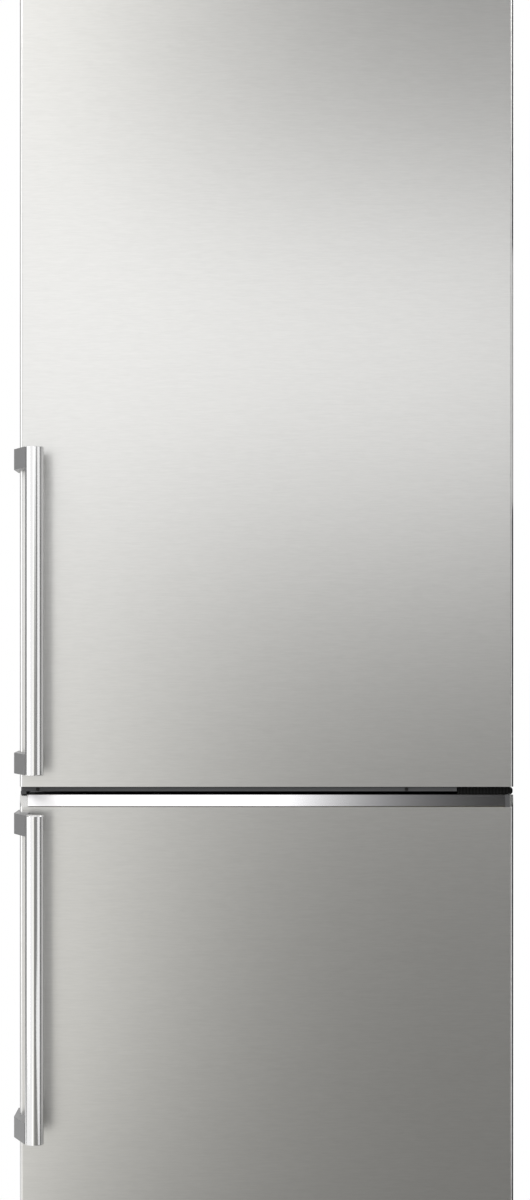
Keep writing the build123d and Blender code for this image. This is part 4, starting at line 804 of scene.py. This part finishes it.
def overhead_card():
    """The card above the camera, level with the other cards' tops."""
    material, tree, emission = emission_material("overhead_card")
    past_start = tree.math("SUBTRACT", OVERHEAD_START, tree.place_along()["X"])
    from_start = tree.math("DIVIDE", past_start, OVERHEAD_FADE)
    fade = tree.math("EXPONENT", tree.math("MINIMUM", from_start, 0.0))
    tree.feed(emission.inputs["Strength"], tree.math("MULTIPLY", fade, OVERHEAD_BRIGHT))
    corner = (OVERHEAD_LEFT, CARD_Y, CARD_TOP)
    add_card("overhead_card", corner, (OVERHEAD_WIDTH, 0, 0), (0, OVERHEAD_DEPTH, 0), material)


# Grey cards, which draw lines on the bars and doors: the line on the floor, the grey, the foot and the top
SHADE_LINE = ((CARD_RIGHT, CARD_Y), (2.40, CARD_Y))
DOOR_EDGE_LINE = ((0.36, -0.322), (0.36, -0.20))
GREY_CARDS = {
    "low_shade_card": (*SHADE_LINE, 0.27, 0.0, 1.45),
    "band_shade_card": (*SHADE_LINE, 0.62, 1.45, 2.05),
    "high_shade_card": (*SHADE_LINE, 0.36, 2.05, CARD_TOP),
    "left_card": ((-1.6, 0.05), (-1.6, 3.0), 0.24, 0.0, CARD_TOP),
    "right_card": ((1.5, -0.25), (1.5, 9.0), 0.03, 0.0, CARD_TOP),
    "rear_card": ((1.5, 9.0), (0.2, 9.0), 0.03, 0.0, CARD_TOP),
    "bar_line_card": ((1.0, -0.66), (1.0, -0.10), 0.24, 0.0, CARD_TOP),
    "low_edge_card": (*DOOR_EDGE_LINE, 0.01, 0.0, 1.10),
    "band_edge_card": (*DOOR_EDGE_LINE, 0.48, 1.10, 1.42),
    "high_edge_card": (*DOOR_EDGE_LINE, 0.01, 1.42, CARD_TOP),
}


def grey_cards():
    """Upright cards of one grey each."""
    for name, (start, end, grey, foot, top) in GREY_CARDS.items():
        material, _, emission = emission_material(name)
        emission.inputs["Strength"].default_value = grey
        across = (end[0] - start[0], end[1] - start[1], 0)
        add_card(name, (*start, foot), across, (0, 0, top - foot), material)


front_card()
overhead_card()
grey_cards()


# Lamps: place, size and power, all aimed at the middle of the object
LAMP_AIM = (0, 0, 0.95)
LAMPS = {
    "key_softbox": ((-1.9, -1.8, 3.3), (1.6, 1.2), 62.0),
    "left_strip": ((-2.4, -1.2, 1.0), (1.3, 2.0), 10.6),
    "fill_softbox": ((2.1, -1.6, 3.1), (1.6, 1.2), 28.0),
    "back_softbox": ((1.2, 2.8, 2.4), (1.8, 1.8), 40.0),
}


def add_lamps():
    """Rectangular lamps round the object."""
    for name, (place, size, power) in LAMPS.items():
        light = bpy.data.lights.new(name, "AREA")
        light.shape = "RECTANGLE"
        light.size, light.size_y = size
        light.energy = power
        lamp = bpy.data.objects.new(name, light)
        lamp.location = place
        lamp.rotation_euler = (Vector(LAMP_AIM) - Vector(place)).to_track_quat("-Z", "Y").to_euler()
        bpy.context.scene.collection.objects.link(lamp)


add_lamps()


# Surroundings: the floor is pale round the object and fades to white away from it
AMBIENT = 0.62
FLOOR_SIZE = 40.0
FLOOR_COLOUR = (0.80, 0.80, 0.79)
FLOOR_ROUGHNESS = 0.75
FLOOR_CENTRE = (0.0, -0.25, 0.0)
FLOOR_FADE = (0.60, 1.05)


def seen_rays(tree):
    """One for rays from the camera, a mirror or glass, and nought for the light's own rays."""
    rays = tree.add("ShaderNodeLightPath").outputs
    seen = tree.math("MAXIMUM", rays["Is Camera Ray"], rays["Is Glossy Ray"])
    return tree.math("MAXIMUM", seen, rays["Is Transmission Ray"])


def add_world():
    """White surroundings for what looks at or mirrors them, and an even soft light for the rest."""
    world = bpy.data.worlds.new("studio")
    world.use_nodes = True
    world.node_tree.nodes.clear()
    tree = Tree(world.node_tree)
    strength = tree.spread(seen_rays(tree), AMBIENT, 1.0, *WHOLE_RANGE)
    background = tree.add("ShaderNodeBackground", {"Color": (*WHITE, 1), "Strength": strength})
    tree.add("ShaderNodeOutputWorld", {"Surface": background.outputs[0]})
    bpy.context.scene.world = world


def add_floor():
    """Plain pale floor that keeps the object's shadow and turns white away from it."""
    material, tree, shader = new_material("floor")
    material.cycles.emission_sampling = "NONE"
    cloud = tree.noise(FLOOR_CELLS)
    tree.feed(shader.inputs["Base Color"], tree.colours(cloud, *shades(FLOOR_COLOUR, spread=0.01)))
    shader.inputs["Roughness"].default_value = FLOOR_ROUGHNESS
    distance = tree.add("ShaderNodeVectorMath", operation="DISTANCE")
    tree.feed(distance.inputs[0], tree.object_place())
    tree.feed(distance.inputs[1], FLOOR_CENTRE)
    away = tree.spread(distance.outputs["Value"], 0.0, 1.0, *FLOOR_FADE)
    white = tree.add("ShaderNodeEmission", {"Color": (*WHITE, 1), "Strength": 1.0})
    mix = tree.add("ShaderNodeMixShader", {"Fac": tree.math("MULTIPLY", away, seen_rays(tree))})
    tree.feed(mix.inputs[1], shader.outputs[0])
    tree.feed(mix.inputs[2], white.outputs[0])
    tree.feed(tree.tree.get_output_node("ALL").inputs["Surface"], mix.outputs[0])
    corner = (-FLOOR_SIZE / 2, -FLOOR_SIZE / 2, 0)
    add_quad("floor", corner, (FLOOR_SIZE, 0, 0), (0, FLOOR_SIZE, 0), material)


def add_camera():
    """Camera square to the doors, shifted so that the frame crops them as the photograph does."""
    data = bpy.data.cameras.new("camera")
    data.sensor_width = SENSOR_SIZE
    data.lens = SENSOR_SIZE * CAMERA_DISTANCE * PIXELS_PER_METRE / PHOTO_HEIGHT
    data.shift_x = (PHOTO_WIDTH / 2 - LENS_PIXEL[0]) / PHOTO_HEIGHT
    data.shift_y = (LENS_PIXEL[1] - PHOTO_HEIGHT / 2) / PHOTO_HEIGHT
    camera = bpy.data.objects.new("camera", data)
    door_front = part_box("fridge_door_skin")[0].y
    camera.location = (0, door_front - CAMERA_DISTANCE, CAMERA_HEIGHT)
    camera.rotation_euler = (math.radians(90), 0, 0)
    bpy.context.scene.collection.objects.link(camera)
    bpy.context.scene.camera = camera


add_world()
add_floor()
add_camera()
bpy.context.scene.view_settings.view_transform = "Standard"
